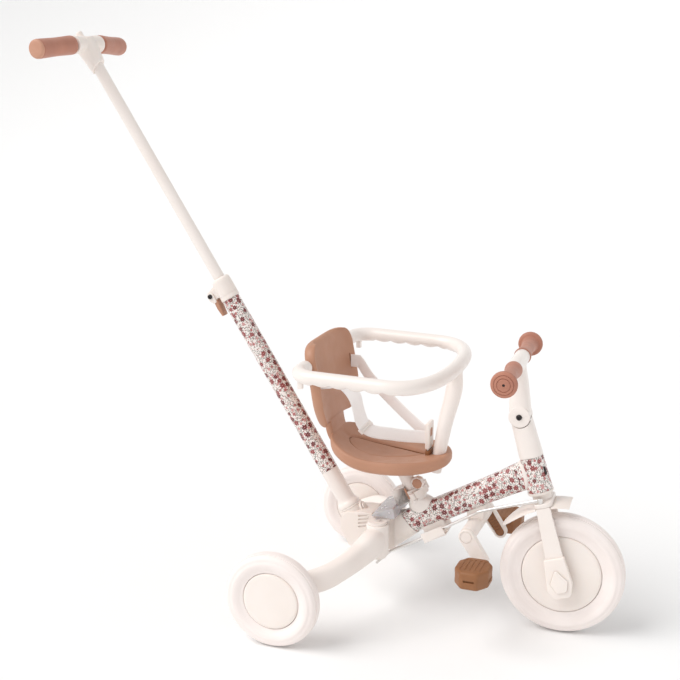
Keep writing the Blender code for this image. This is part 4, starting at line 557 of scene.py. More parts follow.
def solid(name, bm, where, finish):
    """Puts a bmesh into the scene as an object at the origin."""
    bm.transform(where)
    bm.normal_update()
    bmesh.ops.recalc_face_normals(bm, faces=bm.faces)
    mesh = bpy.data.meshes.new(name)
    bm.to_mesh(mesh)
    bm.free()
    mesh.materials.append(finish.material)
    made = bpy.data.objects.new(name, mesh)
    made["slot"] = finish.slot
    bpy.context.collection.objects.link(made)
    return made


def bake(piece):
    """Turns the modifiers of a piece into its mesh."""
    bpy.context.view_layer.update()
    graph = bpy.context.evaluated_depsgraph_get()
    mesh = bpy.data.meshes.new_from_object(piece.evaluated_get(graph))
    piece.modifiers.clear()
    old, piece.data = piece.data, mesh
    bpy.data.meshes.remove(old)


def combine(piece, operation, *tools):
    """Joins or cuts away hidden shapes, each a (bmesh, place) pair."""
    hidden = []
    for bm, where in tools:
        tool = solid("tool", bm, where, PAINT)
        tool.data.materials.clear()
        modifier = piece.modifiers.new("tool", "BOOLEAN")
        modifier.operation = operation
        modifier.object = tool
        hidden.append(tool)
    bake(piece)
    for tool in hidden:
        mesh = tool.data
        bpy.data.objects.remove(tool)
        bpy.data.meshes.remove(mesh)


def cut(piece, *tools):
    combine(piece, "DIFFERENCE", *tools)


def join(piece, *tools):
    combine(piece, "UNION", *tools)


def bevel(piece, width, segments=3, angle=35.0):
    modifier = piece.modifiers.new("rounded_edges", "BEVEL")
    modifier.width = width
    modifier.segments = segments
    modifier.limit_method = "ANGLE"
    modifier.angle_limit = math.radians(angle)
    bake(piece)


def melt(piece, voxel, rounds):
    """Blends the joins of a moulded part into soft fillets."""
    modifier = piece.modifiers.new("remesh", "REMESH")
    modifier.mode = "VOXEL"
    modifier.voxel_size = voxel
    modifier = piece.modifiers.new("smooth", "SMOOTH")
    modifier.factor = 0.5
    modifier.iterations = rounds
    bake(piece)


def finish_piece(piece, body, *nodes, smooth=35.0):
    """Shades a piece and makes it ride on its body in the place of CAD nodes."""
    mesh = piece.data
    mesh.validate()
    mesh.shade_smooth()
    mesh.set_sharp_from_angle(angle=math.radians(smooth))
    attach(piece, body)
    if nodes:
        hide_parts(*nodes)
    return piece


def piece(name, bm, where, finish, body, *nodes, smooth=35.0):
    """A finished piece straight from a bmesh."""
    return finish_piece(solid(name, bm, where, finish), body, *nodes, smooth=smooth)


# Wheels

def tyre_profile(radius, half_width, disc_radius):
    """Tread with a crease at each side, round sidewall and a hollow band to the disc."""
    middle = (radius - TYRE_BULGE, TREAD_HALF)
    reach = (TYRE_BULGE - 0.0012, half_width - TREAD_HALF)
    side = [(radius, 0.0), (radius, TREAD_HALF - 0.0014), (radius - 0.0004, TREAD_HALF - 0.0003),
            (radius - 0.0020, TREAD_HALF + 0.0001), (radius - 0.0022, TREAD_HALF + 0.0012)]
    for k in range(14):
        a = math.radians(78 - 9 * k)
        step = 0.0011 if k in (6, 7) else 0.0
        side.append((middle[0] + (reach[0] - step) * math.sin(a),
                     middle[1] + (reach[1] - step) * math.cos(a)))
    inner = side[-1]
    seat = (disc_radius + 0.0022, half_width * 0.68)
    middle_point = ((inner[0] + seat[0]) / 2 - 0.0006, (inner[1] + seat[1]) / 2 - 0.0006)
    side += [tuple(p) for p in smooth_path([inner, middle_point, seat], 5)[1:]]
    side += [(disc_radius + 0.0010, seat[1] - 0.0003), (disc_radius + 0.0004, seat[1] - 0.0012),
             (disc_radius + 0.0004, seat[1] - 0.0060)]
    return side


def tyre(name, where, size, body):
    half = tyre_profile(*size)
    profile = [(r, -h) for r, h in reversed(half)] + half[1:]
    piece(name + "_look", turned(profile, 128, ring=True, along="Y"), where, FOAM, body, name,
          smooth=45)


def disc_half(half_width, radius, boss):
    """From the boss to the rounded rim of the disc's outer face, slightly crowned."""
    face = half_width * 0.84
    side = [(between(boss, radius * 0.93, k / 8), face - 0.0010 * (k / 8) ** 2) for k in range(9)]
    side += [(radius * 0.955, face - 0.0014), (radius * 0.975, face - 0.0022),
             (radius * 0.990, face - 0.0036), (radius - 0.0002, face - 0.0054),
             (radius - 0.0002, half_width * 0.30)]
    return side


def wheels():
    tyre("front_tyre", FRONT_WHEEL, FRONT, "front_wheel")
    half = [(0.0046, BLADE_INNER - 0.0006), (BOSS_RADIUS - 0.0010, BLADE_INNER - 0.0006),
            (BOSS_RADIUS, BLADE_INNER - 0.0016), (BOSS_RADIUS, FRONT[1] * 0.84 + 0.0010)]
    half += disc_half(FRONT[1], FRONT[2], BOSS_RADIUS + 0.0010)
    piece("front_disc_look", turned(mirrored(half), 128, ring=True, along="Y"), FRONT_WHEEL,
          PLASTIC, "front_wheel", "front_hub")
    for side, sign in SIDES:
        where = BASE @ shift(0, sign * REAR_TRACK / 2, REAR[0])
        tyre("rear_tyre_" + side, where, REAR, "wheel_" + side)
        leg_face = REAR_TRACK / 2 - LEG_END_Y - 0.0080
        outer = [(0.0, REAR[1] * 0.84)] + disc_half(REAR[1], REAR[2], 0.004)
        inner = [(0.0046, leg_face - 0.0006), (BOSS_RADIUS, leg_face - 0.0006),
                 (BOSS_RADIUS + 0.0006, REAR[1] * 0.84)] + disc_half(REAR[1], REAR[2], 0.0140)
        profile = outer + [(r, -h) for r, h in reversed(inner)] + [(0.0046, 0.0), (0.0, 0.0)]
        bm = turned([(r, sign * h) for r, h in profile], 128, along="Y")
        hub = solid("rear_disc_%s_look" % side, bm, where, PLASTIC)
        finish_piece(hub, "wheel_" + side, "rear_hub_" + side)


# Fork, crown, mudguard and head

def blade_outline():
    corners = [(-0.0095, CROWN_BOTTOM - 0.0003), (-0.0165, 0.035), (-0.0165, -0.0180),
               (0.0150, -0.0180), (0.0148, 0.060), (0.0145, CROWN_BOTTOM - 0.0003)]
    return rounded(corners, [0.0005, 0.020, 0.014, 0.014, 0.020, 0.0005])


def fork():
    corners = [(-0.0125, -BLADE_OUTER), (0.0190, -BLADE_OUTER), (0.0190, BLADE_OUTER),
               (-0.0125, BLADE_OUTER)]
    crown = solid("fork_crown_look", prism(rounded(corners, 0.009), CROWN_BOTTOM, CROWN_TOP, "Z"),
                  STEER, PAINT)
    bevel(crown, 0.0014, 4)
    join(crown, (drum(0.0165, CROWN_TOP - 0.002, HEAD_BOTTOM - 0.0056), STEER),
         (drum(0.0125, CROWN_BOTTOM + 0.002, HEAD_TOP + 0.004, PLAIN), STEER))
    finish_piece(crown, "fork", "fork_crown")
    for side, sign in SIDES:
        inside, outside = sign * BLADE_INNER, sign * BLADE_OUTER
        blade = solid("fork_blade_%s_look" % side, prism(blade_outline(), inside, outside), STEER,
                      PAINT)
        bevel(blade, 0.0014, 4)
        finish_piece(blade, "fork", "fork_blade_" + side)
        shell = outside + sign * 0.0064
        corners = [(-0.0188, 0.0390), (-0.0262, -0.0170), (-0.0190, -0.0345), (0.0120, -0.0345),
                   (0.0200, -0.0110), (0.0172, 0.0390)]
        outline = rounded(corners, [0.002, 0.012, 0.012, 0.012, 0.012, 0.002])
        cover = solid("fork_boot_%s_look" % side, prism(outline, inside + sign * 0.0004, shell),
                      STEER, PLASTIC)
        bevel(cover, 0.0016, 4)
        corners = [(-0.0030, 0.0215), (-0.0175, -0.0040), (-0.0110, -0.0225), (0.0080, -0.0225),
                   (0.0140, -0.0040)]
        cap = solid("cap", prism(rounded(corners, [0.004, 0.004, 0.006, 0.006, 0.004]),
                                 shell - sign * 0.0010, shell + sign * 0.0040), STEER, PLASTIC)
        bevel(cap, 0.0012, 4)
        groove = rounded(corners, [0.004, 0.004, 0.006, 0.006, 0.004])
        wider = [(x * 1.07 - 0.0002, z * 1.06) for x, z in groove]
        cut(cover, (prism(wider, shell - sign * 0.0007, shell + sign * 0.01), STEER),
            (prism([(x * 0.99, z * 0.99) for x, z in blade_outline()], inside - sign * 0.01,
                   outside + sign * 0.0003), STEER))
        finish_piece(cap, "fork", "fork_cover_" + side)
        finish_piece(cover, "fork", "fork_cover_" + side)


def mudguard():
    """A short curved guard: square front edge, round rear lobe and a rolled rim."""
    steps, across = 44, 20
    front, rear = math.radians(69.0), math.radians(127.0)
    loops = []
    for i in range(steps + 1):
        share = i / steps
        angle = between(front, rear, share)
        lobe = max(0.0, (share - 0.62) / 0.38)
        half = GUARD_HALF_WIDTH * between(0.93, 1.0, min(1.0, share / 0.3))
        half *= math.sqrt(1 - (0.97 * lobe) ** 2)
        outer, inner = [], []
        for j in range(across + 1):
            y = half * (2 * j / across - 1)
            edge = abs(2 * j / across - 1)
            reach = GUARD_RADIUS - 0.0040 * (y / GUARD_HALF_WIDTH) ** 2 - 0.0004 * edge ** 8
            thick = 0.0030 * math.sqrt(max(0.05, 1 - max(0.0, (edge - 0.85) / 0.16) ** 2))
            for row, radius in ((outer, reach), (inner, reach - thick)):
                row.append((radius * math.cos(angle), y, radius * math.sin(angle)))
        loops.append(outer + inner[::-1])
    guard = solid("mudguard_look", skin(loops), STEER, PLASTIC)
    tools = [(box((-0.05, -0.05, CROWN_BOTTOM - 0.0003), (0.05, 0.05, 0.20)), STEER)]
    for side, sign in SIDES:
        near, far = sorted((sign * (BLADE_INNER - 0.0006), sign * (GUARD_HALF_WIDTH + 0.01)))
        tools.append((box((-0.0111, near, 0.10), (0.0156, far, 0.16)), STEER))
    cut(guard, *tools)
    finish_piece(guard, "fork", "mudguard", smooth=50)


def head():
    def radius(height):
        share = (height - HEAD_BOTTOM) / (HEAD_TOP - HEAD_BOTTOM)
        return between(HEAD_RADIUS_LOW, HEAD_RADIUS_HIGH, share)

    heights = [between(HEAD_BOTTOM, HEAD_TOP, k / 12) for k in range(13)]
    piece("head_tube_look", skin([[(x, y, h) for x, y in ellipse(radius(h), radius(h))]
                                  for h in heights]), HEAD, PRINT, "frame", "head_tube")
    lip = HEAD_RADIUS_LOW + 0.0008
    low = HEAD_BOTTOM - 0.0050
    profile = [(0.0131, low), (lip - 0.0014, low), (lip - 0.0004, low + 0.0004),
               (lip, low + 0.0014), (lip, HEAD_BOTTOM - 0.0009), (lip - 0.0005, HEAD_BOTTOM - 0.0003),
               (0.0158, HEAD_BOTTOM - 0.0003), (0.0158, HEAD_TOP - 0.001), (0.0131, HEAD_TOP - 0.001)]
    piece("headset_cup_look", turned(profile, ring=True), HEAD, PLASTIC, "frame", "headset_cup")
    clip = solid("head_clip_look",
                 prism(rounded([(-0.0022, 0.0), (0.0022, 0.0), (0.0016, 0.0150), (-0.0016, 0.0150)],
                               0.0014), 0.0, 0.0022, "X"),
                 HEAD @ turn(math.radians(-27), "Z")
                 @ shift(HEAD_RADIUS_HIGH + 0.0008, 0.0, HEAD_BOTTOM + 0.0280), BLACK)
    bevel(clip, 0.0006, 3)
    finish_piece(clip, "frame")


# Main tube

def tube_length():
    dx = WHEELBASE - TUBE_START[0]
    dz = FRONT_AXLE_Z - TUBE_START[1]
    lean = math.tan(HEAD_LEAN)
    return (dx + lean * dz) / (math.cos(TUBE_SLOPE) + lean * math.sin(TUBE_SLOPE))


def tube_loops(start, end, grow=0.0, steps=24):
    """The tube keeps its height and then flares over the last stretch to the head."""
    loops = []
    for k in range(steps + 1):
        along = between(start, end, k / steps)
        share = max(0.0, along / tube_length() - 0.6) / 0.4
        half = between(TUBE_HALF_HEIGHT, 0.0275, share * share)
        section = ellipse(TUBE_HALF_WIDTH + grow, half + grow, 72, 2.7)
        loops.append([(along, y, z) for y, z in section])
    return loops


def main_tube():
    lug_start = tube_length() - HEAD_RADIUS_LOW - 0.0070
    piece("main_tube_look", skin(tube_loops(0.0060, lug_start - 0.0003)), TUBE, PRINT, "frame",
          "main_tube", smooth=60)
    lug = solid("head_lug_look", skin(tube_loops(lug_start, tube_length(), 0.0, 4)), TUBE, PRINT)
    profile = [(0.0, HEAD_BOTTOM - 0.03), (0.0228, HEAD_BOTTOM - 0.03), (0.0228, HEAD_BOTTOM),
               (0.0210, HEAD_TOP), (0.0210, HEAD_TOP + 0.03), (0.0, HEAD_TOP + 0.03)]
    cut(lug, (turned(profile), HEAD), (box((0.0, -0.05, 0.05), (0.05, 0.05, 0.35)), HEAD))
    finish_piece(lug, "frame", "head_lug")
    collar = solid("head_collar_look", skin(tube_loops(lug_start + 0.0020, tube_length(), 0.0009, 6)),
                   TUBE, PAINT)
    sleeve = [(0.0, HEAD_BOTTOM - 0.03), (0.0264, HEAD_BOTTOM - 0.03), (0.0250, HEAD_TOP + 0.03),
              (0.0, HEAD_TOP + 0.03)]
    keep = solid("keep", turned(sleeve), HEAD, PAINT)
    shell = collar.modifiers.new("shell", "BOOLEAN")
    shell.operation = "INTERSECT"
    shell.solver = "EXACT"
    shell.object = keep
    bake(collar)
    bpy.data.objects.remove(keep)
    cut(collar, (turned(profile), HEAD), (box((0.0, -0.05, 0.05), (0.05, 0.05, 0.35)), HEAD))
    bevel(collar, 0.0005, 2, 40)
    finish_piece(collar, "frame")


# Stem and handlebar

def loft(stations, power, sides=FINE, steps=6):
    """A smooth loft through (height, half x, half y) stations."""
    rows = smooth_path(stations, steps)
    return skin([[(x, y, height) for x, y in ellipse(half_x, half_y, sides, power)]
                 for height, half_x, half_y in rows])


def stem():
    foot, top = HEAD_TOP + 0.0006, STEM_BOLT_HEIGHT
    shoulder = top - 0.0070
    stations = [(foot, 0.0208, 0.0195), (foot + 0.020, 0.0205, 0.0185),
                (shoulder - 0.016, STEM_HALF_DEPTH + 0.0004, STEM_HALF_WIDTH),
                (shoulder, STEM_HALF_DEPTH, STEM_HALF_WIDTH)]
    post = solid("stem_post_look", loft(stations, 2.5), STEER, PAINT)
    bolt = STEER @ shift(0, 0, top)
    cut(post, (drum(STEM_HALF_DEPTH + 0.0012, -0.03, 0.03, along="Y"), bolt))
    bevel(post, 0.0008, 3, 50)
    join(post, (box((-0.0125, -TONGUE_HALF + 0.0001, shoulder - 0.020),
                    (0.0125, TONGUE_HALF - 0.0001, top)), STEER),
         (drum(0.0170, -TONGUE_HALF, TONGUE_HALF, along="Y"), bolt))
    finish_piece(post, "fork", "stem_post")
    cap = [(0.0, STEM_HALF_WIDTH + 0.0012), (0.0016, STEM_HALF_WIDTH + 0.0012),
           (0.0022, STEM_HALF_WIDTH + 0.0024), (0.0038, STEM_HALF_WIDTH + 0.0025),
           (0.0050, STEM_HALF_WIDTH + 0.0016), (0.0052, STEM_HALF_WIDTH + 0.0003),
           (0.0029, STEM_HALF_WIDTH + 0.0003)]
    piece("stem_bolt_look", turned(mirrored(cap), PLAIN, along="Y"), bolt, BLACK, "fork",
          "stem_bolt")


def handlebar():
    stations = [(0.0, STEM_HALF_DEPTH, STEM_HALF_WIDTH), (0.030, 0.0180, 0.0166),
                (0.062, 0.0160, 0.0158), (BAR_RISE, 0.0128, 0.0150)]
    upper = solid("handlebar_stem_look", loft(stations, 2.8), BAR, PAINT)
    bar = BAR @ shift(0, 0, BAR_RISE)
    join(upper, (drum(STEM_HALF_DEPTH - 0.0002, -STEM_HALF_WIDTH + 0.0001,
                      STEM_HALF_WIDTH - 0.0001, along="Y", edge=0.0012), BAR),
         (drum(0.0138, -BAR_HUB_HALF, BAR_HUB_HALF, along="Y", edge=0.0015), bar))
    slot = TONGUE_HALF + 0.0006
    cut(upper, (drum(0.0176, -slot, slot, along="Y", edge=0.0001), BAR),
        (box((-0.03, -slot, -0.03), (0.03, slot, 0.0)), BAR))
    finish_piece(upper, "handlebar", "handlebar_stem", smooth=40)
    for side, sign in SIDES:
        start = BAR_HUB_HALF + 0.0003
        flange = BAR_HALF - 0.0110
        hand = [(0.0150, start + 0.0008), (0.0153, start + 0.0040), (0.0146, start + 0.0110),
                (0.0126, start + 0.0260), (0.0122, (start + flange) / 2),
                (0.0124, flange - 0.0200), (0.0140, flange - 0.0080), (0.0154, flange - 0.0028)]
        profile = [(0.0, start), (0.0146, start)] + [tuple(p) for p in smooth_path(hand, 5)]
        profile += [(0.0160, flange - 0.0016), (0.0196, flange - 0.0006)]
        profile += arc((0.0200, flange + 0.0045), (0.0025, 0.0045), -85, 85, 12)[1:]
        profile += [(0.0186, flange + 0.0094), (0.0172, flange + 0.0097), (0.0168, flange + 0.0086),
                    (0.0160, flange + 0.0086), (0.0156, flange + 0.0100), (0.0120, flange + 0.0104),
                    (0.0116, flange + 0.0094), (0.0108, flange + 0.0094), (0.0104, flange + 0.0106),
                    (0.0026, BAR_HALF), (0.0023, BAR_HALF - 0.0005), (0.0022, BAR_HALF - 0.0020),
                    (0.0, BAR_HALF - 0.0020)]
        bm = turned([(r, sign * h) for r, h in profile], along="Y")
        grip = solid("grip_%s_look" % side, bm, bar, GRIP)
        rings = []
        for k in range(3):
            middle = sign * (flange - 0.0075 - 0.0042 * k)
            inner = 0.0141 - 0.0007 * k
            groove = [(inner, middle - 0.0006), (0.03, middle - 0.0006), (0.03, middle + 0.0006),
                      (inner, middle + 0.0006)]
            rings.append((turned(groove, ring=True, along="Y"), bar))
        rim = sign * (flange + 0.0046)
        groove = [(0.0206, rim - 0.0007), (0.03, rim - 0.0007), (0.03, rim + 0.0007),
                  (0.0206, rim + 0.0007)]
        rings.append((turned(groove, ring=True, along="Y"), bar))
        cut(grip, *rings)
        finish_piece(grip, "handlebar", "grip_" + side)
        # A black disc at the bottom of the grip's end hole: painted shade in the hole.
        low, high = sorted((sign * (BAR_HALF - 0.0030), sign * (BAR_HALF - 0.0012)))
        piece("grip_hole_shade_" + side, drum(0.0022, low, high, PLAIN, along="Y"), bar, BLACK, "handlebar")


# Rear housing

def lobe_outline(sign):
    root = sign * (WEB_HALF_WIDTH - 0.002)
    tip = sign * (LEG_PIVOT_Y + 0.0160)
    back, front = LEG_PIVOT_X - 0.0160, LEG_PIVOT_X + 0.0160
    return rounded([(back - 0.008, root), (back, tip), (front, tip), (front, root)],
                   [0.0005, 0.0160, 0.0160, 0.0005])


def screw(name, where, radius, body, finish=BLACK):
    """A round-headed screw with a cross slot, its head rising along its own Z."""
    head = [(0.0, -0.0012), (radius, -0.0012), (radius, 0.0)]
    head += arc((0.0, 0.0), (radius, radius * 0.42), 8, 90, 8)
    bolt = solid(name, turned(head, PLAIN), where, finish)
    slot = radius * 0.16
    cut(bolt, (box((-radius * 0.55, -slot, radius * 0.18), (radius * 0.55, slot, radius)), where),
        (box((-slot, -radius * 0.55, radius * 0.18), (slot, radius * 0.55, radius)), where))
    finish_piece(bolt, body)


def rear_housing():
    outline = rounded([(0.0660, PLATE_LOW), (0.0500, 0.1400), (0.0480, 0.1620), (0.0600, 0.1760),
                       (0.0900, PLATE_HIGH), (0.1100, PLATE_HIGH), (0.1100, PLATE_LOW)],
                      [0.010, 0.010, 0.010, 0.010, 0.010, 0.0005, 0.0005])
    body = solid("rear_housing_look", prism(outline, -BODY_HALF_WIDTH, BODY_HALF_WIDTH), BASE,
                 PLASTIC)
    bevel(body, 0.0045, 5)
    tools = [(box((0.1040, -WEB_HALF_WIDTH, PLATE_LOW + 0.0001),
                  (HOUSING_FRONT, WEB_HALF_WIDTH, PLATE_HIGH - 0.0001)), BASE),
             (drum(SOCKET_RADIUS, -0.050, 0.0, edge=0.0008), POLE),
             (drum(0.0108, 0.010, SOCKET_RADIUS + 0.0015, PLAIN, along="X", edge=0.0012), SNAP),
             (box((0.1216, -0.0394, PLATE_HIGH - 0.003), (0.1495, 0.0394, PLATE_HIGH + 0.0048)),
              BASE)]
    for _, sign in SIDES:
        for low in (PLATE_LOW, PLATE_HIGH - 0.0060):
            tools.append((prism(lobe_outline(sign), low, low + 0.0050, "Z"), BASE))
    join(body, *tools)
    holes = [(drum(0.0181, -0.0586, 0.01), POLE), (drum(0.0076, -0.12, -0.03, PLAIN), POLE),
             (drum(0.0074, 0.0190, 0.04, PLAIN, along="X"), SNAP),
             (box((0.1200, -ROD_ARM - 0.0037, PLATE_LOW - 0.01),
                  (0.16, -WEB_HALF_WIDTH - 0.0002, PLATE_LOW + 0.012)), BASE)]
    for _, sign in SIDES:
        holes.append((drum(0.0052, PLATE_LOW - 0.01, PLATE_HIGH + 0.0036, PLAIN),
                      BASE @ shift(LEG_PIVOT_X, sign * LEG_PIVOT_Y, 0)))
        for k in range(4):
            slot = rounded([(0.0, 0.0), (0.0215, 0.0), (0.0215, 0.0034), (0.0, 0.0034)], 0.0016, 4)
            near, far = sorted((sign * (BODY_HALF_WIDTH - 0.0025), sign * (BODY_HALF_WIDTH + 0.01)))
            holes.append((prism(slot, near, far),
                          BASE @ shift(0.0835, 0, 0.1490 + 0.0070 * k) @ turn(-0.24, "Y")))
    cut(body, *holes)
    bevel(body, 0.0006, 2, 55)
    finish_piece(body, "frame", "rear_housing")
    for side, sign in SIDES:
        facing = turn(-sign * math.pi / 2, "X")
        screw("housing_screw_" + side, BASE @ shift(0.1035, sign * (BODY_HALF_WIDTH - 0.0002), 0.1745)
              @ facing, 0.0026, "frame", PLASTIC)
        bolt = [(0.0, PLATE_LOW - 0.0038)]
        bolt += arc((0.0060, PLATE_LOW - 0.0018), (0.0025, 0.0020), -90, 0, 6)
        bolt += [(0.0085, PLATE_LOW - 0.0003), (0.0050, PLATE_LOW - 0.0003),
                 (0.0050, PLATE_HIGH + 0.0030), (0.0, PLATE_HIGH + 0.0030)]
        piece("leg_bolt_%s_look" % side, turned(bolt, PLAIN),
              BASE @ shift(LEG_PIVOT_X, sign * LEG_PIVOT_Y, 0), STEEL, "frame", "leg_bolt_" + side)


def nose_loops(grow=0.0):
    middle = (PLATE_LOW + PLATE_HIGH + 0.0020) / 2
    half = (PLATE_HIGH - PLATE_LOW - 0.0040) / 2 + grow
    first = [(HOUSING_FRONT + 0.0003 - grow, y, middle + z)
             for y, z in ellipse(0.0185 + grow, half, FINE, 5.0)]
    c, s = math.cos(TUBE_SLOPE), math.sin(TUBE_SLOPE)
    last = []
    for y, up in ellipse(TUBE_HALF_WIDTH + 0.0012 + grow, TUBE_HALF_HEIGHT + 0.0012 + grow, FINE, 3.2):
        along = (0.3440 - sum(TUBE_START) - up * (c - s)) / (c + s)
        last.append((TUBE_START[0] + along * c - up * s, y, TUBE_START[1] + along * s + up * c))
    return [[tuple(Vector(a).lerp(Vector(b), k / 8)) for a, b in zip(first, last)]
            for k in range(9)]


def nose_and_button():
    nose = solid("housing_nose_look", skin(nose_loops()), BASE, PLASTIC)
    cut(nose, (skin(tube_loops(0.0057, 0.10, 0.0003, 4)), TUBE))
    bevel(nose, 0.0008, 3, 50)
    finish_piece(nose, "frame", "housing_nose", smooth=45)
    bottom = PLATE_HIGH + 0.0028
    side = [(0.1150, bottom), (0.1600, bottom), (0.1560, 0.2030), (0.1180, 0.1890)]
    button = solid("release_button_look", prism(rounded(side, [0.0005, 0.0005, 0.004, 0.005]),
                                                -BUTTON_HALF_WIDTH, BUTTON_HALF_WIDTH), BASE, LENS)
    bevel(button, 0.0016, 4)
    tools = [(box((0.1210, -0.0400, bottom - 0.01), (0.1560, 0.0400, bottom + 0.0062)), BASE),
             (skin(nose_loops(0.0031)), BASE),
             (skin(tube_loops(0.0029, 0.06, 0.0043, 4)), TUBE)]
    for _, sign in SIDES:
        near, far = sorted((sign * (BUTTON_HALF_WIDTH - 0.0010), sign * 0.06))
        slit = rounded([(0.1265, bottom + 0.0030), (0.1345, bottom + 0.0030),
                        (0.1345, bottom + 0.0046), (0.1265, bottom + 0.0046)], 0.0007, 4)
        tools.append((prism(slit, near, far), BASE))
    cut(button, *tools)
    finish_piece(button, "leg_button", "release_button")


# Rear legs

LEG_STATIONS = (                # x, y and z from pivot to axle, half thickness, half height
    (0.000, 0.000, 0.000, 0.0190, 0.0265), (0.030, 0.160, 0.050, 0.0185, 0.0262),
    (0.130, 0.330, 0.250, 0.0170, 0.0240), (0.260, 0.581, 0.420, 0.0155, 0.0215),
    (0.430, 0.779, 0.580, 0.0140, 0.0222), (0.630, 0.924, 0.680, 0.0110, 0.0215),
    (0.845, 0.994, 0.870, 0.0086, 0.0190), (1.000, 1.000, 1.000, 0.0080, 0.0150),
)


def rear_leg(side, sign):
    """A curved leg: a tall knuckle on its bolt, tapering back and out to the wheel."""
    root_z = (PLATE_LOW + PLATE_HIGH) / 2 + 0.0005
    span = LEG_END_Y - LEG_PIVOT_Y
    rows = smooth_path(LEG_STATIONS, 8)
    points = [(-LEG_PIVOT_X * r[0], sign * span * r[1], between(root_z, REAR[0], r[2]))
              for r in rows]
    where = BASE @ shift(LEG_PIVOT_X, sign * LEG_PIVOT_Y, 0)
    leg = solid("rear_leg_%s_look" % side,
                sweep(points, lambda k: ellipse(rows[k][3], rows[k][4], 40, 2.6)), where, PAINT)
    end = where @ shift(-LEG_PIVOT_X, sign * span, REAR[0])
    join(leg, (drum(0.0205, PLATE_LOW + 0.0053, PLATE_HIGH - 0.0063, edge=0.0020), where),
         (drum(0.0165, -0.0080, 0.0080, along="Y", edge=0.0012), end))
    inner, outer = sorted((sign * 0.0080, sign * 0.03))
    faces = [(box((-0.03, inner, -0.03), (0.045, outer, 0.03)), end)]
    inner, outer = sorted((-sign * 0.0080, -sign * 0.03))
    faces.append((box((-0.03, inner, -0.012), (0.012, outer, 0.012)), end))
    faces.append((drum(0.0056, 0.05, 0.25, PLAIN), where))
    cut(leg, *faces)
    finish_piece(leg, "leg_" + side, "rear_leg_" + side, smooth=50)
    head = REAR_TRACK / 2 - LEG_END_Y + 0.0083
    bolt = arc((0.0045, head + 0.0012), (0.0022, 0.0018), 0, 90, 5)
    bolt = [(0.0, head - 0.004), (0.0040, head - 0.004), (0.0040, head), (0.0067, head)] + bolt
    bolt += [(0.0026, head + 0.0030), (0.0024, head + 0.0010), (0.0, head + 0.0010)]
    piece("rear_axle_%s_look" % side, turned([(r, -sign * h) for r, h in bolt], PLAIN, along="Y"),
          BASE @ shift(0, sign * REAR_TRACK / 2, REAR[0]), STEEL, "leg_" + side,
          "rear_axle_" + side)


# Push pole

def push_pole():
    snap = [(0.0, 0.0240)] + [(0.0068, 0.0240)] + arc((0.0054, 0.0264), (0.0014, 0.0014), 0, 90, 5)
    snap += [(0.0, 0.0278)]
    piece("snap_button_look", turned(snap, PLAIN, along="X"), SNAP, PLASTIC, "pole_catch",
          "snap_button")
    cup = [(0.0, -0.0506), (0.0132, -0.0506), (0.0132, 0.0035), (0.0212, 0.0035), (0.0219, 0.0028),
           (0.0219, 0.0010), (0.0212, 0.0003), (0.0174, 0.0003), (0.0174, -0.0580), (0.0, -0.0580)]
    swivel = solid("pole_swivel_look", turned(cup), POLE, PLASTIC)
    join(swivel, (drum(0.0070, -0.1015, -0.0550, PLAIN), POLE))
    corners = [(-0.0090, 0.0080), (-0.0060, -ROD_ARM - 0.0060), (0.0060, -ROD_ARM - 0.0060),
               (0.0090, 0.0080)]
    join(swivel, (prism(rounded(corners, [0.006, 0.0055, 0.0055, 0.006]), -0.1005, -0.0965, "Z"),
                  POLE))
    finish_piece(swivel, "swivel", "pole_swivel")
    foot = 0.0038
    flare = [(0.0208, foot + 0.0006), (0.0208, foot + 0.0040), (0.0196, foot + 0.0078),
             (0.0176, foot + 0.0112), (0.0166, foot + 0.0160), (POLE_RADIUS, foot + 0.0220)]
    profile = [(0.0, -0.0480), (0.0122, -0.0480), (0.0122, foot), (0.0202, foot)]
    profile += [tuple(p) for p in smooth_path(flare, 4)]
    profile += [(POLE_RADIUS, SLEEVE_TOP - 0.0004), (POLE_RADIUS - 0.0004, SLEEVE_TOP),
                (0.0, SLEEVE_TOP)]
    piece("pole_foot_look", turned(profile), POLE, PAINT, "pole", "pole_foot")
    heights = [between(SLEEVE_TOP + 0.0003, PRINT_TOP, k / 30) for k in range(31)]
    piece("pole_lower_tube_look",
          skin([[(x, y, h) for x, y in ellipse(POLE_RADIUS, POLE_RADIUS, FINE, 2.0, math.pi / 2)]
                for h in heights]), POLE, PRINT, "pole", "pole_lower_tube")
    piece("pole_upper_tube_look", drum(UPPER_RADIUS, PRINT_TOP - 0.08, HANDLE_HEIGHT - 0.0220),
          POLE, PAINT, "upper_pole", "pole_upper_tube")


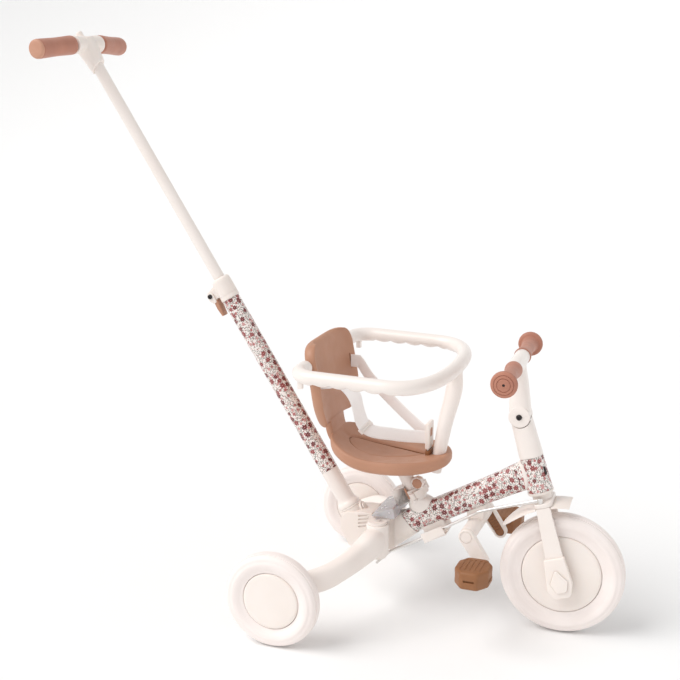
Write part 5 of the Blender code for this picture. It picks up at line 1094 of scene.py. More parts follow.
def pole_collar():
    seat = PRINT_TOP + 0.0003
    profile = [(0.0113, seat), (0.0170, seat), (0.0180, seat + 0.0008), (0.0182, seat + 0.0020),
               (0.0182, COLLAR_TOP - 0.0100)]
    profile += [tuple(p) for p in smooth_path([(0.0182, COLLAR_TOP - 0.0080),
                                               (0.0174, COLLAR_TOP - 0.0030),
                                               (0.0150, COLLAR_TOP - 0.0003), (0.0132, COLLAR_TOP)], 4)]
    profile += [(0.0118, COLLAR_TOP), (0.0113, COLLAR_TOP - 0.0006)]
    collar = solid("pole_collar_look", turned(profile, ring=True), POLE, PLASTIC)
    back, _, height = COLLAR_BOLT
    outline = rounded([(back - 0.0075, height - 0.0075), (-0.0140, height - 0.0100),
                       (-0.0140, height + 0.0140), (back - 0.0075, height + 0.0075)],
                      [0.0072, 0.0005, 0.0005, 0.0072])
    ear = 0.0065
    join(collar, (prism(outline, -ear, ear), POLE))
    cut(collar, (box((back - 0.02, -0.0006, seat - 0.01), (-0.0120, 0.0006, COLLAR_TOP + 0.01)), POLE),
        (turned([(0.0174, seat + 0.0090), (0.03, seat + 0.0090), (0.03, seat + 0.0098),
                 (0.0174, seat + 0.0098)], ring=True), POLE))
    bevel(collar, 0.0007, 3, 50)
    finish_piece(collar, "pole", "pole_collar")
    bolt = POLE @ shift(*COLLAR_BOLT)
    cap = [(0.0, 0.0124), (0.0014, 0.0124), (0.0019, 0.0137), (0.0034, 0.0137), (0.0044, 0.0128),
           (0.0046, 0.0112), (0.0026, 0.0111)]
    piece("collar_bolt_look", turned(mirrored(cap), PLAIN, along="Y"), bolt, BLACK, "pole",
          "collar_bolt")
    blade = rounded([(0.0000, -0.0105), (0.0075, -0.0105), (0.0072, -0.0260), (0.0045, -0.0430),
                     (0.0005, -0.0430), (-0.0012, -0.0260)], [0.002, 0.002, 0.01, 0.0018, 0.0018, 0.01])
    lever = solid("collar_lever_look", prism(blade, -0.0090, 0.0090), bolt, TAN)
    bevel(lever, 0.0016, 4)
    finish_piece(lever, "pole_lever", "collar_lever")
    yoke = rounded([(-0.0064, 0.0064), (-0.0060, -0.0060), (-0.0012, -0.0150), (0.0060, -0.0150),
                    (0.0064, 0.0064)], [0.0062, 0.004, 0.002, 0.002, 0.0062])
    cheeks = solid("collar_yoke_look", prism(yoke, -0.0108, 0.0108), bolt, PLASTIC)
    bevel(cheeks, 0.0010, 3)
    cut(cheeks, (box((-0.02, -ear - 0.0006, -0.02), (0.02, ear + 0.0006, 0.03)), bolt))
    finish_piece(cheeks, "pole_lever")


def push_handle():
    """A moulded tee over the pole's end and two round-ended grips swept a little back."""
    top = POLE @ shift(0, 0, HANDLE_HEIGHT)
    neck = [(0.0, 0.006), (0.0205, 0.006), (0.0196, -0.0100), (0.0172, -0.0300), (0.0146, -0.0500),
            (0.0140, -0.0560), (0.0130, -0.0566), (0.0, -0.0566)]
    tee = solid("handle_tee_look", turned(neck), top, PLASTIC)
    cut(tee, (box((-0.04, -0.04, -0.09), (0.04, 0.04, -0.0440)), top @ turn(-0.42, "Y")))
    half = [(0.0, HANDLE_HUB_HALF), (0.0158, HANDLE_HUB_HALF), (0.0166, HANDLE_HUB_HALF - 0.0010),
            (0.0166, HANDLE_HUB_HALF - 0.0060), (0.0158, HANDLE_HUB_HALF - 0.0160), (0.0152, 0.012)]
    hub = turned(mirrored(half), along="Y")
    join(tee, (hub, HANDLE), (drum(0.0062, 0.0, 0.0262, PLAIN, edge=0.002), top))
    melt(tee, 0.0011, 5)
    finish_piece(tee, "upper_pole", "handle_tee", smooth=60)
    for side, sign in SIDES:
        root = Vector((0, sign * (HANDLE_HUB_HALF + 0.0003), 0))
        tip = Vector((-HANDLE_SWEEP, sign * HANDLE_HALF, -HANDLE_DROP))
        reach = tip - root
        length = reach.length
        hub = HANDLE_GRIP_RADIUS
        start = hub * reach.xz.length / length + 0.0003
        belly = [(hub - 0.0008, start + 0.0012), (hub, start + 0.0060), (hub - 0.0007, length * 0.45),
                 (hub, length - 0.0200), (hub + 0.0001, length - 0.0100)]
        profile = [(0.0, start), (hub - 0.0020, start)] + [tuple(p) for p in smooth_path(belly, 5)]
        profile += [(hub + 0.0001, length - 0.0072), (hub - 0.0006, length - 0.0064),
                    (hub - 0.0006, length - 0.0058), (0.0, length - 0.0058)]
        place = HANDLE @ Matrix.Translation(root) @ reach.to_track_quat("Z", "X").to_matrix().to_4x4()
        piece("push_grip_%s_look" % side, turned(profile), place, GRIP, "upper_pole",
              "push_grip_" + side)
        cap = [(0.0, length - 0.0060), (hub - 0.0008, length - 0.0060)]
        cap += arc((hub - 0.0046, length - 0.0046), (0.0044, 0.0044), 0, 80, 8)
        cap += [(hub * 0.4, length), (0.0, length)]
        piece("push_grip_cap_" + side, turned(cap), place, CAP, "upper_pole")


# Seat post, clamp and seat

def seat_clamp():
    outer = POST_RADIUS + 0.0058
    rows = [(-0.0150, 0.0250, 0.0166, 0.004), (-0.0040, 0.0245, 0.0166, 0.004),
            (0.0040, 0.0222, 0.0170, 0.002), (0.0090, outer, outer * 0.97, 0.0)]
    loops = [[(x + shift_x, y, height) for x, y in ellipse(half_x, half_y, FINE, 2.5)]
             for height, half_x, half_y, shift_x in smooth_path(rows, 5)]
    clamp = solid("seat_clamp_look", skin(loops), POST, PAINT)
    pin = POST @ shift(0.0040, -outer - 0.0062, 0.0)
    join(clamp, (drum(outer, 0.0080, CLAMP_HEIGHT, edge=0.0012), POST),
         (box((-0.0350, -0.0172, 0.0150), (-0.0080, 0.0172, 0.0430)), POST),
         (drum(0.0050, 0.0115, 0.0155, PLAIN), pin),
         (box((-0.0045, 0.0, 0.0117), (0.0045, 0.0095, 0.0153)), pin))
    cut(clamp, (drum(POST_RADIUS + 0.0006, -0.03, 0.05), POST),
        (box((-0.05, -0.0012, 0.0070), (-0.005, 0.0012, 0.05)), POST),
        (skin(tube_loops(0.0, 0.12, 0.0003, 4)), TUBE))
    bevel(clamp, 0.0010, 3, 50)
    join(clamp, (drum(0.0022, 0.0135, 0.0285, PLAIN), pin))
    finish_piece(clamp, "frame", "seat_clamp", smooth=40)
    steps = 28
    near, far = outer + 0.0012, outer + 0.0065
    turns = [math.radians(between(-75, 85, k / steps)) for k in range(steps + 1)]
    band = [(near * math.cos(a), near * math.sin(a)) for a in turns]
    band += [(far * math.cos(a), far * math.sin(a)) for a in reversed(turns)]
    lever = solid("clamp_lever_look", prism(band, 0.0160, 0.0285, "Z"), POST, PLASTIC)
    join(lever, (prism(rounded([(-0.0020, outer + 0.0012), (0.0150, outer + 0.0012),
                                (0.0190, 0.0330), (0.0040, 0.0350)], 0.004), 0.0161, 0.0325, "Z"),
                 POST), (drum(0.0048, 0.0160, 0.0285, PLAIN), pin))
    cut(lever, (drum(0.0025, 0.0, 0.05, PLAIN), pin))
    bevel(lever, 0.0012, 3, 50)
    finish_piece(lever, "seat_lever", "clamp_lever")
    strip = solid("clamp_strip_look", box((-0.0086, -0.0186, 0.0190), (-0.0052, -0.0150, 0.0400)), POST,
                  TAN)
    bevel(strip, 0.0008, 3)
    finish_piece(strip, "frame")
    octagon = ellipse(0.0122, 0.0122, 8, 2.0, math.pi / 8)
    knob = solid("clamp_knob_look", prism([(x + 0.0190, z + 0.0395) for x, z in octagon],
                                          -0.0150, -0.0030), POST, PLASTIC)
    bevel(knob, 0.0014, 3)
    cut(knob, (drum(POST_RADIUS + 0.0007, 0.0, 0.08), POST))
    finish_piece(knob, "seat_lever")
    face = solid("clamp_knob_face", prism([(x * 0.78 + 0.0190, z * 0.78 + 0.0395) for x, z in octagon],
                                          -0.0166, -0.0140), POST, TAN)
    bevel(face, 0.0008, 3)
    finish_piece(face, "seat_lever")
    piece("seat_post_look", drum(POST_RADIUS, -0.0200, 0.0850), POST, PAINT, "seat", "seat_post")


def seat_outline(scale, sides=220):
    """The seat in plan: broad and square behind, drawn in to a round nose."""
    outline = []
    for k in range(sides):
        angle = 2 * math.pi * (k + 0.5) / sides
        c, s = math.cos(angle), math.sin(angle)
        power = 2.2 if c > 0 else 2.9
        reach = SEAT_NOSE - SEAT_MIDDLE if c > 0 else SEAT_MIDDLE - SEAT_REAR
        outline.append((SEAT_MIDDLE + scale * reach * math.copysign(abs(c) ** (2 / power), c),
                        scale * SEAT_HALF_WIDTH * math.copysign(abs(s) ** (2 / power), s)))
    return outline


def seat_rise(x):
    """How far the rim climbs towards the nose and towards the rear."""
    forward = max(0.0, x - SEAT_MIDDLE) / (SEAT_NOSE - SEAT_MIDDLE)
    backward = max(0.0, SEAT_MIDDLE - x) / (SEAT_MIDDLE - SEAT_REAR)
    return 0.0050 * forward ** 2 + 0.0320 * backward ** 2


DROP_REAR = 0.0570
DROP_TIP = RING_LEG_X - 0.0240


def drop_half(share):
    """Half the width of the pressed teardrop: round behind and pointed at the nose."""
    return 0.0806 * math.sqrt(share) * (1 - share) ** 0.85


def groove_depth(x, y):
    """The teardrop is a hollow with a groove round it."""
    share = (x - DROP_REAR) / (DROP_TIP - DROP_REAR)
    if share <= -0.1 or share >= 1.0:
        return 0.0
    share = min(max(share, 0.0005), 0.9995)
    slope = max(0.35, abs(math.cos(share * 2.2)))
    inside = (drop_half(share) - abs(y)) * slope
    distance = abs(inside)
    if x < DROP_REAR + 0.004:
        distance = min(distance, math.hypot(x - DROP_REAR, y * 0.25))
    hollow = 0.0022 / (1 + math.exp(-max(-30.0, min(30.0, inside / 0.0006))))
    return 0.0048 * math.exp(-(distance / 0.0015) ** 2) + hollow


def seat_top(x, y):
    """Height of the dished top before the groove is pressed in."""
    power = 2.2 if x > SEAT_MIDDLE else 2.9
    reach = SEAT_NOSE - SEAT_MIDDLE if x > SEAT_MIDDLE else SEAT_MIDDLE - SEAT_REAR
    scale = (abs((x - SEAT_MIDDLE) / reach) ** power + abs(y / SEAT_HALF_WIDTH) ** power) ** (1 / power)
    share = min(1.0, max(0.0, (0.90 - scale) / 0.87))
    return (SEAT_BELLY + between(0.0416, 0.0370, math.sin(share * math.pi / 2))
            + between(1.0, 0.55, share) * seat_rise(x))


def seat_groove_shade():
    """A thin dark bead laid in the teardrop's groove: painted shade in the groove."""
    path = []
    for k in range(121):
        u = 0.985 * (k / 60 - 1)
        x = between(DROP_REAR, DROP_TIP, u * u)
        y = math.copysign(drop_half(u * u), u)
        path.append((x, y, seat_top(x, y) - 0.0042))
    piece("seat_seam_look", sweep(path, lambda _: ellipse(0.0011, 0.0011, 12)), BASE, PEDAL, "seat")


def strut_bm(grow=0.0):
    """The flat neck that rises from the seat's rear into the back."""
    path = smooth_path([(0.0600, 0.2960), (0.0420, 0.3120), (0.0305, 0.3300),
                        (0.0235, BACK_FOOT[1] + 0.0180 + grow)], 6)
    half, wide = 0.0065 + grow, 0.0350 + grow
    corners = [(-wide, -half), (wide, -half), (wide, half), (-wide, half)]
    return sweep([(x, 0, z) for x, z in path], lambda _: rounded(corners, 0.004, 4), up=(1, 0, 0))


def seat():
    """A moulded shell with a crowned rim, a dished top and a pressed teardrop."""
    levels = [(0.0070, 0.42, 0.2), (0.0078, 0.50, 0.2), (0.0118, 0.72, 0.5), (0.0205, 0.945, 0.85),
              (0.0250, 0.992, 0.95), (0.0300, 1.0, 1.0), (0.0355, 0.999, 1.0), (0.0395, 0.985, 1.0),
              (0.0415, 0.965, 1.0), (0.0420, 0.935, 1.0), (0.0416, 0.90, 1.0)]
    rows = [tuple(p) for p in smooth_path(levels, 3)]
    top = 72
    for k in range(1, top + 1):
        share = k / top
        rows.append((between(0.0416, 0.0370, math.sin(share * math.pi / 2)),
                     between(0.90, 0.03, share), between(1.0, 0.55, share)))
    bm = bmesh.new()
    rings = []
    for index, (height, scale, weight) in enumerate(rows):
        ring = []
        for x, y in seat_outline(scale):
            z = SEAT_BELLY + height + weight * seat_rise(x)
            if index > len(rows) - top - 1:
                z -= groove_depth(x, y)
            ring.append(bm.verts.new((x, y, z)))
        rings.append(ring)
    for low, high in zip(rings, rings[1:]):
        for k in range(len(low)):
            n = (k + 1) % len(low)
            bm.faces.new((low[k], low[n], high[n], high[k]))
    bm.faces.new(rings[0][::-1])
    bm.faces.new(rings[-1])
    shell = solid("seat_shell_look", bm, BASE, TAN)
    join(shell, (strut_bm(), BASE))
    slot = BASE @ shift(RING_LEG_X - 0.0180, 0, RIM_HIGH)
    cut(shell, (drum(POST_RADIUS + 0.0003, 0.0, 0.0853), POST),
        (drum(RING_LEG_RADIUS + 0.0006, -0.06, 0.03), RING),
        (box((-0.0030, -0.0140, -0.012), (0.0030, 0.0140, 0.020)), slot))
    finish_piece(shell, "seat", "seat_shell", smooth=50)
    # dark bead in the teardrop's groove: painted shade
    seat_groove_shade()


def backrest():
    """A thick shield-shaped back: its side wings turn forward and the crown is rounded."""
    rows, columns = 52, 48
    loops = []
    for i in range(rows + 1):
        t = 0.5 - 0.5 * math.cos(math.pi * i / rows)
        z = BACK_FOOT[1] + BACK_HEIGHT * t
        x = BACK_FOOT[0] - BACK_LEAN * t + 0.003 * math.sin(math.pi * t)
        lower = between(0.66, 1.0, math.sin(min(1.0, t / 0.40) * math.pi / 2))
        rise = max(0.0, (t - 1) * BACK_HEIGHT / BACK_CORNER + 1)
        upper = 1 - (BACK_CORNER / BACK_HALF_WIDTH) * (1 - math.sqrt(max(0.0, 1 - rise * rise)))
        half = BACK_HALF_WIDTH * lower * upper
        close = math.sqrt(max(0.02, 1 - abs(2 * t - 1) ** 18))
        depth = BACK_THICKNESS * (0.94 + 0.06 * math.sin(math.pi * t) ** 0.4) * close
        wing = BACK_WRAP * between(0.45, 1.0, min(1.0, t / 0.35)) * min(1.0, upper + 0.3)
        front, rear = [], []
        for j in range(columns + 1):
            s = math.sin((2 * j / columns - 1) * math.pi / 2)
            y = half * s
            curve = wing * abs(s) ** 5
            thick = depth * math.sqrt(max(0.03, 1 - abs(s) ** 22))
            front.append((x + curve + thick / 2, y, z))
            rear.append((x + curve * 0.60 - thick / 2, y, z))
        loops.append(front + rear[::-1])
    back = solid("backrest_look", skin(loops), BASE, TAN)
    hooks, holes = [], []
    for _, sign in SIDES:
        slot = rounded([(-0.0016, -0.0145), (0.0016, -0.0145), (0.0016, 0.0145), (-0.0016, 0.0145)],
                       0.0014, 4)
        holes.append((prism(slot, -0.05, 0.05, "X"),
                      BASE @ shift(0.02, sign * STRAP_SLOT[0], STRAP_SLOT[1])))
        inner, outer = sorted((sign * 0.086, sign * (RING_END_Y + 0.006)))
        hook = rounded([(RING_REAR - 0.0100, RING_HEIGHT - 0.022), (RING_REAR + 0.0100, RING_HEIGHT - 0.022),
                        (RING_REAR + 0.0100, RING_HEIGHT - 0.004), (RING_REAR - 0.0100, RING_HEIGHT - 0.004)],
                       0.003)
        hooks.append((prism(hook, inner, outer), BASE))
        height = ring_height(RING_REAR)
        holes.append((rod((RING_REAR, sign * (RING_END_Y - 0.0010), height),
                          (RING_REAR, sign * (RING_END_Y + 0.030), height), RING_RADIUS + 0.0003), BASE))
    join(back, *hooks)
    cut(back, *holes)
    bevel(back, 0.0008, 2, 60)
    finish_piece(back, "seat", "backrest", smooth=60)


# Safety ring

RING = BASE @ shift(RING_LEG_X, 0, RIM_HIGH) @ turn(math.radians(11.0), "Y")


def ring_height(x):
    return RING_HEIGHT - 0.02 * (x - RING_REAR)


def safety_ring():
    """A ring arm round the child with finger scallops underneath, and its front leg."""
    half = [(RING_REAR, RING_END_Y + 0.002 * k) for k in range(5)]
    start_y = RING_HALF_WIDTH - RING_CORNER
    half += [(RING_REAR, between(half[-1][1], start_y, k / 6)) for k in range(1, 7)]
    for k in range(1, 13):
        a = math.pi / 2 * k / 12
        half.append((RING_REAR + RING_CORNER * (1 - math.cos(a)),
                     RING_HALF_WIDTH - RING_CORNER * (1 - math.sin(a))))
    straight = RING_STRAIGHT_END - half[-1][0]
    start = half[-1][0]
    half += [(start + straight * k / 44, RING_HALF_WIDTH) for k in range(1, 45)]
    for k in range(1, 37):
        a = math.pi / 2 * (1 - k / 36)
        half.append((RING_STRAIGHT_END + (RING_FRONT - RING_STRAIGHT_END) * math.cos(a) ** 0.8,
                     RING_HALF_WIDTH * math.sin(a) ** 0.8))
    plan = half + [(x, -y) for x, y in reversed(half[:-1])]
    last = len(plan) - 1

    def section(k):
        x, _ = plan[k]
        outline = []
        fade = min(1.0, max(0.0, (x - RING_REAR - RING_CORNER + 0.006) / 0.012),
                   max(0.0, (RING_STRAIGHT_END + 0.036 - x) / 0.012))
        wave = abs(math.sin(math.pi * (x - RING_REAR - RING_CORNER) / SCALLOP_PITCH)) ** 0.7
        deep = 0.0052 * (1 - wave) * fade
        end = min(k, last - k)
        shrink = (0.86, 0.965, 0.995)[end] if end < 3 else 1.0
        for a, b in ellipse(RING_RADIUS, RING_RADIUS, 40):
            low = max(0.0, -b / RING_RADIUS)
            outline.append((a * shrink, (b + deep * low ** 1.5) * shrink))
        return outline

    ring = solid("safety_ring_look", sweep([(x, y, ring_height(x)) for x, y in plan], section),
                 BASE, PAINT)
    front = RING_FRONT - RING_LEG_X
    rise = RING_HEIGHT - RIM_HIGH
    foot = math.tan(math.radians(11.0)) * 0.0330
    stations = smooth_path([(RING_LEG_X - foot, 0, RIM_HIGH - 0.0330), (RING_LEG_X, 0, RIM_HIGH),
                            (RING_LEG_X + front * 0.42, 0, RIM_HIGH + rise * 0.38),
                            (RING_LEG_X + front * 0.90, 0, RIM_HIGH + rise * 0.72),
                            (RING_FRONT, 0, RIM_HIGH + rise * 0.985)], 8)

    def leg_section(k):
        share = k / (len(stations) - 1)
        across = between(RING_LEG_RADIUS, 0.0150, max(0.0, share - 0.25) / 0.75)
        along = between(RING_LEG_RADIUS, 0.0150, math.sin(math.pi * min(1.0, share * 1.25) ** 2 / 2))
        along = min(along, between(0.0150, 0.0118, max(0.0, share - 0.8) / 0.2))
        return ellipse(min(across, RING_RADIUS - 0.0004), along, 40)

    tabs = []
    for _, sign in SIDES:
        near, far = sorted((sign * 0.1450, sign * 0.1535))
        tabs.append((box((RING_REAR + 0.0040, near, RING_HEIGHT - RING_RADIUS - 0.0125),
                         (RING_REAR + 0.0120, far, RING_HEIGHT - 0.004)), BASE))
    join(ring, (sweep(stations, leg_section, up=(1, 0, 0)), BASE), *tabs)
    finish_piece(ring, "ring", "safety_ring", smooth=60)


# Harness

def tape_bm(points, half, thin, up=(0, 0, 1)):
    """Flat webbing on edge with slightly thicker sewn borders."""
    stations = [Vector(points[0])] + smooth_path(points[1:-1], 10) + [Vector(points[-1])]

    def section(_):
        front, rear = [], []
        for k in range(13):
            share = 2 * k / 12 - 1
            thick = thin * (1.0 if abs(share) < 0.72 else 1.35) * (0.35 if abs(share) == 1 else 1.0)
            front.append((thick, half * share))
            rear.append((-thick, half * share))
        return front + rear[::-1]

    return sweep(stations, section, up)


def harness():
    """Two straps from the back's slots meet in a buckle over the nose."""
    buckle_x = RING_LEG_X - 0.0180
    low = RIM_HIGH + 0.0110
    high = low + 0.0480
    inside, entry = BACK_FOOT[0] + 0.004, BACK_FOOT[0] + 0.0210
    end = buckle_x - 0.0048
    middle = (low + high) / 2
    slot_y, slot_z = STRAP_SLOT
    routes = {
        "left": [(inside, slot_y, slot_z), (entry, slot_y, slot_z), (0.0780, 0.0650, 0.4075),
                 (0.1400, 0.0340, 0.3700), (end - 0.0100, 0.0070, middle + 0.004),
                 (end, 0.0065, middle + 0.004)],
        "right": [(inside, -slot_y, slot_z), (entry, -slot_y, slot_z + 0.003), (0.0640, -0.0680, 0.4392),
                  (0.0850, -0.0540, 0.4110), (0.1010, -0.0385, 0.3500), (0.1500, -0.0200, 0.3360),
                  (end - 0.0100, -0.0070, middle - 0.004), (end, -0.0065, middle - 0.004)]}
    for side, points in routes.items():
        piece("strap_%s_look" % side, tape_bm(points, STRAP_HALF_WIDTH, 0.00085), BASE, WEBBING,
              "seat", "strap_" + side, smooth=50)
    # a slide on the near strap where it turns along the seat
    corner, ahead = Vector(routes["right"][4]), Vector(routes["right"][5])
    facing = (ahead - Vector(routes["right"][3])).to_track_quat("Z", "Y").to_matrix().to_4x4()
    frame_outline = rounded([(-0.0030, -0.0145), (0.0030, -0.0145), (0.0030, 0.0145),
                             (-0.0030, 0.0145)], 0.0014, 5)
    place = BASE @ Matrix.Translation(corner) @ facing
    slide = solid("strap_slide_look", prism(frame_outline, -0.0050, 0.0050, "Z"), place, PLASTIC)
    cut(slide, (box((-0.0016, -0.0125, -0.0060), (0.0016, 0.0125, 0.0060)), place),
        (box((-0.0060, -0.0100, -0.0034), (0.0060, 0.0100, -0.0012)), place),
        (box((-0.0060, -0.0100, 0.0012), (0.0060, 0.0100, 0.0034)), place))
    bevel(slide, 0.0005, 2, 40)
    finish_piece(slide, "seat")
    outline = rounded([(buckle_x - 0.0042, low), (buckle_x + 0.0032, low),
                       (buckle_x + 0.0032, high), (buckle_x - 0.0042, high)], 0.0026)
    buckle = solid("buckle_look", prism(outline, -0.0150, 0.0150), BASE, PLASTIC)
    bevel(buckle, 0.0012, 3)
    grooves = []
    for k in range(3):
        z = low + 0.0060 + 0.0035 * k
        grooves.append((box((buckle_x + 0.0026, -0.0090, z), (buckle_x + 0.006, 0.0090, z + 0.0014)),
                        BASE))
    button = rounded([(-0.0062, 0.0), (0.0062, 0.0), (0.0062, 0.0150), (-0.0062, 0.0150)], 0.003)
    grooves.append((prism([(y * 1.12, z * 1.08 + low + 0.0212) for y, z in button],
                          buckle_x + 0.0024, buckle_x + 0.006, "X"), BASE))
    cut(buckle, *grooves)
    finish_piece(buckle, "seat", "buckle")
    button_piece = solid("buckle_button_look", prism([(y, z + low + 0.0218) for y, z in button],
                                                     buckle_x + 0.0010, buckle_x + 0.0036, "X"),
                         BASE, TAN)
    bevel(button_piece, 0.0007, 3)
    finish_piece(button_piece, "seat")
    tape = [(buckle_x, 0, RIM_HIGH - 0.0055), (buckle_x, 0, RIM_HIGH - 0.0010),
            (buckle_x, 0, RIM_HIGH + 0.0050), (buckle_x, 0, low - 0.0003)]
    piece("crotch_strap_look", tape_bm(tape, STRAP_HALF_WIDTH, 0.00085, (0, 1, 0)), BASE, WEBBING,
          "seat", "crotch_strap", smooth=50)
    keeper = solid("crotch_keeper_look", box((buckle_x - 0.0042, -0.0145, RIM_HIGH - 0.0030),
                                             (buckle_x + 0.0042, 0.0145, RIM_HIGH + 0.0085)), BASE,
                   PEDAL)
    bevel(keeper, 0.0018, 4)
    cut(keeper, (box((buckle_x - 0.0012, -0.0126, RIM_HIGH - 0.01),
                     (buckle_x + 0.0012, 0.0126, RIM_HIGH + 0.02)), BASE))
    finish_piece(keeper, "seat")


# Pedals

def pedal_bracket():
    x, z = PEDAL_BOSS
    top = (TUBE_START[1] + (x - TUBE_START[0]) * math.tan(TUBE_SLOPE)
           - TUBE_HALF_HEIGHT / math.cos(TUBE_SLOPE))
    outline = [(x - 0.0120, z - 0.004), (x + 0.0110, z - 0.004), (x + 0.0180, top + 0.022),
               (x - 0.0200, top + 0.012)]
    web = solid("pedal_bracket_look", prism(rounded(outline, 0.002), -0.0105, 0.0105), BASE, PLASTIC)
    half = CRANK_Y - 0.0006
    boss = BASE @ shift(x, 0, z)
    join(web, (drum(0.0140, -half, half, edge=0.0014, along="Y"), boss))
    tools = [(skin(tube_loops(0.05, tube_length(), 0.0003, 12)), TUBE)]
    for _, sign in SIDES:
        ends = sorted((sign * (half - 0.0420), sign * 0.10))
        tools.append((drum(0.0081, ends[0], ends[1], PLAIN, along="Y"), boss))
    cut(web, *tools)
    bevel(web, 0.0008, 3, 50)
    finish_piece(web, "frame", "pedal_bracket")


def rod_guide():
    outer = -ROD_ARM - 0.0078
    start, end = 0.0420, 0.0860
    under = -TUBE_HALF_HEIGHT
    guide = solid("rod_guide_look", box((start, -WEB_HALF_WIDTH, under - 0.0170),
                                        (end, WEB_HALF_WIDTH, under + 0.006)), TUBE, PLASTIC)
    join(guide, (box((start, outer, under - 0.0178), (end, -WEB_HALF_WIDTH + 0.001, under - 0.0155)),
                 TUBE),
         (box((start, outer, under - 0.0165), (end, outer + 0.0018, under)), TUBE))
    cut(guide, (skin(tube_loops(0.0, 0.15, 0.0003, 4)), TUBE))
    bevel(guide, 0.0007, 3, 50)
    finish_piece(guide, "frame", "rod_guide")


def crank(side, sign):
    x, z = PEDAL_BOSS
    where = BASE @ shift(x, sign * CRANK_Y, z)
    dx, dz = CRANK_LENGTH * math.cos(CRANK_ANGLE), CRANK_LENGTH * math.sin(CRANK_ANGLE)

    def link(grow):
        outline = []
        for middle, radius, facing in (((0, 0), 0.0140, math.pi), ((dx, dz), 0.0125, 0.0)):
            for k in range(25):
                a = CRANK_ANGLE + facing + math.pi * (k / 24 - 0.5)
                outline.append((middle[0] + (radius + grow) * math.cos(a),
                                middle[1] + (radius + grow) * math.sin(a)))
        return outline

    ends = sorted((0.0, sign * 0.0120))
    arm = solid("crank_%s_look" % side, prism(link(0.0), *ends), where, PLASTIC)
    bevel(arm, 0.0018, 4)
    low, high = sorted((-sign * 0.01, sign * 0.0035))
    window = (prism(link(-0.0042), low, high), where)
    low, high = sorted((sign * 0.0106, sign * 0.03))
    ring = [(0.0098, low), (0.0110, low), (0.0110, high), (0.0098, high)]
    cut(arm, window, (turned(ring, PLAIN, ring=True, along="Y"), where))
    ends = sorted((-sign * 0.0390, sign * 0.0060))
    tip = sorted((sign * 0.0040, sign * (PEDAL_INNER - CRANK_Y + PEDAL_WIDTH - 0.010)))
    knob = where @ shift(dx, 0, dz)
    join(arm, (drum(0.0075, ends[0], ends[1], PLAIN, along="Y"), where),
         (drum(0.0045, tip[0], tip[1], PLAIN, along="Y"), knob))
    finish_piece(arm, "crank_arm_" + side, "crank_" + side)
    # A dark ribbed sheet inside the crank's window: painted shade in the pocket.
    low, high = sorted((sign * 0.0012, sign * 0.0034))
    ribs = solid("crank_inlay_%s_look" % side, prism(link(-0.0046), low, high), where, PEDAL)
    slots = [(drum(0.0078, -0.02, 0.02, PLAIN, along="Y"), where)]
    for k in range(7):
        share = 0.22 + 0.11 * k
        middle = where @ shift(dx * share, 0, dz * share) @ turn(-CRANK_ANGLE, "Y")
        low, high = sorted((-sign * 0.01, sign * 0.0024))
        slots.append((box((-0.0010, low, -0.03), (0.0010, high, 0.03)), middle))
    cut(ribs, *slots)
    finish_piece(ribs, "crank_arm_" + side)
    inner = sign * (PEDAL_INNER - CRANK_Y)
    outer = inner + sign * PEDAL_WIDTH
    plan = rounded([(-0.0170, inner), (0.0170, inner), (0.0300, inner + sign * 0.0190),
                    (0.0300, outer - sign * 0.0210), (0.0150, outer), (-0.0150, outer),
                    (-0.0300, outer - sign * 0.0210), (-0.0300, inner + sign * 0.0190)][::sign],
                   0.0090)
    block = solid("pedal_%s_look" % side, prism(plan, -0.0160, 0.0160, "Z"), knob, PEDAL)
    bevel(block, 0.0050, 5)
    bore = sorted((inner - sign * 0.01, outer - sign * 0.0090))
    tools = [(drum(0.0051, bore[0], bore[1], PLAIN, along="Y"), knob)]
    span = sorted((inner + sign * 0.012, outer - sign * 0.012))
    for level in (1, -1):
        for k in range(5):
            middle = -0.0170 + 0.0085 * k
            shallow = sorted((level * 0.0153, level * 0.03))
            tools.append((box((middle - 0.0022, span[0], shallow[0]),
                              (middle + 0.0022, span[1], shallow[1])), knob))
    near, far = sorted((outer - sign * 0.0030, outer + sign * 0.01))
    tools.append((prism(rounded([(-0.0095, -0.0019), (0.0095, -0.0019), (0.0095, 0.0019),
                                 (-0.0095, 0.0019)], 0.0014, 4), near, far), knob))
    for end in (-0.03, 0.03):
        low, high = sorted((end * 0.96, end * 1.3))
        tools.append((box((low, span[0] + 0.004, -0.0060), (high, span[1] - 0.004, 0.0060)), knob))
    cut(block, *tools)
    finish_piece(block, "pedal_block_" + side, "pedal_" + side)


def link_rod():
    """A bent rod from the crown's pin, back under the main tube to the pole swivel."""
    c, s = math.cos(HEAD_LEAN), math.sin(HEAD_LEAN)
    turned_x = ROD_ARM * math.sin(PARKED_STEER)
    height = CROWN_TOP + 0.0050
    pin = Vector((WHEELBASE + turned_x * c - height * s, -ROD_ARM * math.cos(PARKED_STEER),
                  FRONT_AXLE_Z + turned_x * s + height * c))
    route = [(pin.x, pin.z), (pin.x - 0.0240 * c, pin.z - 0.0240 * s + 0.0002), (0.3180, 0.2160),
             (0.3000, 0.2062), (0.2400, 0.1682), (0.1974, 0.1412), (0.1560, 0.1180),
             (0.1440, 0.1100), (0.1200, 0.0850)]
    points = smooth_path([(x, pin.y, z) for x, z in route], 8)

    def section(k):
        flat = max(0.0, 1 - k / 14)
        return ellipse(0.0026, 0.0026 + 0.0015 * flat, 24)

    where = BASE @ Matrix.Translation(pin) @ turn(-HEAD_LEAN, "Y")
    bar = solid("link_rod_look", sweep(points, section), BASE, STEEL)
    join(bar, (drum(0.0050, -0.0047, 0.0046, PLAIN, edge=0.0008), where))
    join(bar, (drum(0.0025, -0.0120, 0.0, PLAIN), where))
    finish_piece(bar, "steering_rod", "link_rod", smooth=50)


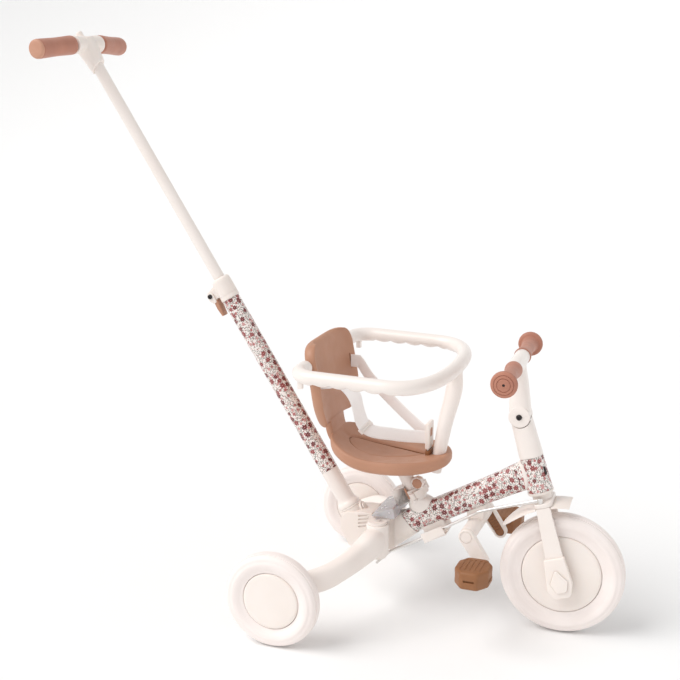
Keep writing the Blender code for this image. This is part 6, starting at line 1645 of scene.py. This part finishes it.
CAP = Finish("tan_grip", (0.60, 0.315, 0.215), 0.55, Sheen_Weight=0.1)
CAP.tinted((0.56, 0.285, 0.19), 60.0)
CAP.rough(0.48, 0.62, 80.0)
CAP.bump(CAP.noise(1500.0, 4.0), 0.00010, 0.5)

wheels()
fork()
mudguard()
head()
main_tube()
stem()
handlebar()
rear_housing()
nose_and_button()
for side_name, side_sign in SIDES:
    rear_leg(side_name, side_sign)
    crank(side_name, side_sign)
push_pole()
pole_collar()
push_handle()
seat_clamp()
seat()
backrest()
safety_ring()
harness()
pedal_bracket()
rod_guide()
link_rod()
for name, finish in (("front_axle", STEEL), ("handlebar_tube", STEEL)):
    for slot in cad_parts[name].material_slots:
        slot.material = finish.material


# Studio

def studio():
    """A pale floor that curves up into a wall all round, and soft light from the left."""
    floor = Finish("floor", (0.93, 0.93, 0.93), 0.75)
    floor.bump(floor.noise(60.0, 3.0), 0.0002, 0.3)
    profile = [(0.0, -0.0004), (1.5, -0.0004), (5.5, -0.0004)]
    profile += [(5.5 + 3.0 * math.sin(a), 3.0 * (1 - math.cos(a)) - 0.0004)
                for a in (math.radians(6 * k) for k in range(1, 14))]
    bm = turned(profile, 96)
    mesh = bpy.data.meshes.new("studio_floor")
    bm.to_mesh(mesh)
    bm.free()
    mesh.materials.append(floor.material)
    mesh.shade_smooth()
    stage = bpy.data.objects.new("studio_floor", mesh)
    bpy.context.collection.objects.link(stage)

    world = bpy.data.worlds.new("studio")
    world.use_nodes = True
    world.node_tree.nodes["Background"].inputs["Color"].default_value = (1.0, 0.998, 0.995, 1.0)
    world.node_tree.nodes["Background"].inputs["Strength"].default_value = 0.63
    bpy.context.scene.world = world

    sky = bpy.data.lights.new("key", "SUN")
    sky.energy = 1.95
    sky.angle = math.radians(45.0)
    sky.color = (1.0, 0.99, 0.98)
    key = bpy.data.objects.new("key", sky)
    key.rotation_mode = "QUATERNION"
    key.rotation_quaternion = Vector((1.1, 0.8, -1.5)).to_track_quat("-Z", "Y")
    bpy.context.collection.objects.link(key)


def camera():
    data = bpy.data.cameras.new("camera")
    data.lens = 65.12
    data.sensor_width = 36.0
    data.clip_end = 100.0
    made = bpy.data.objects.new("camera", data)
    made.location = (0.7935 - MIDDLE_X, -2.0210, 1.0481)
    made.rotation_euler = (math.pi / 2 - 0.2503, 0.0, 0.3579)
    bpy.context.collection.objects.link(made)
    bpy.context.scene.camera = made


studio()
camera()
bpy.context.scene.view_settings.view_transform = "Standard"
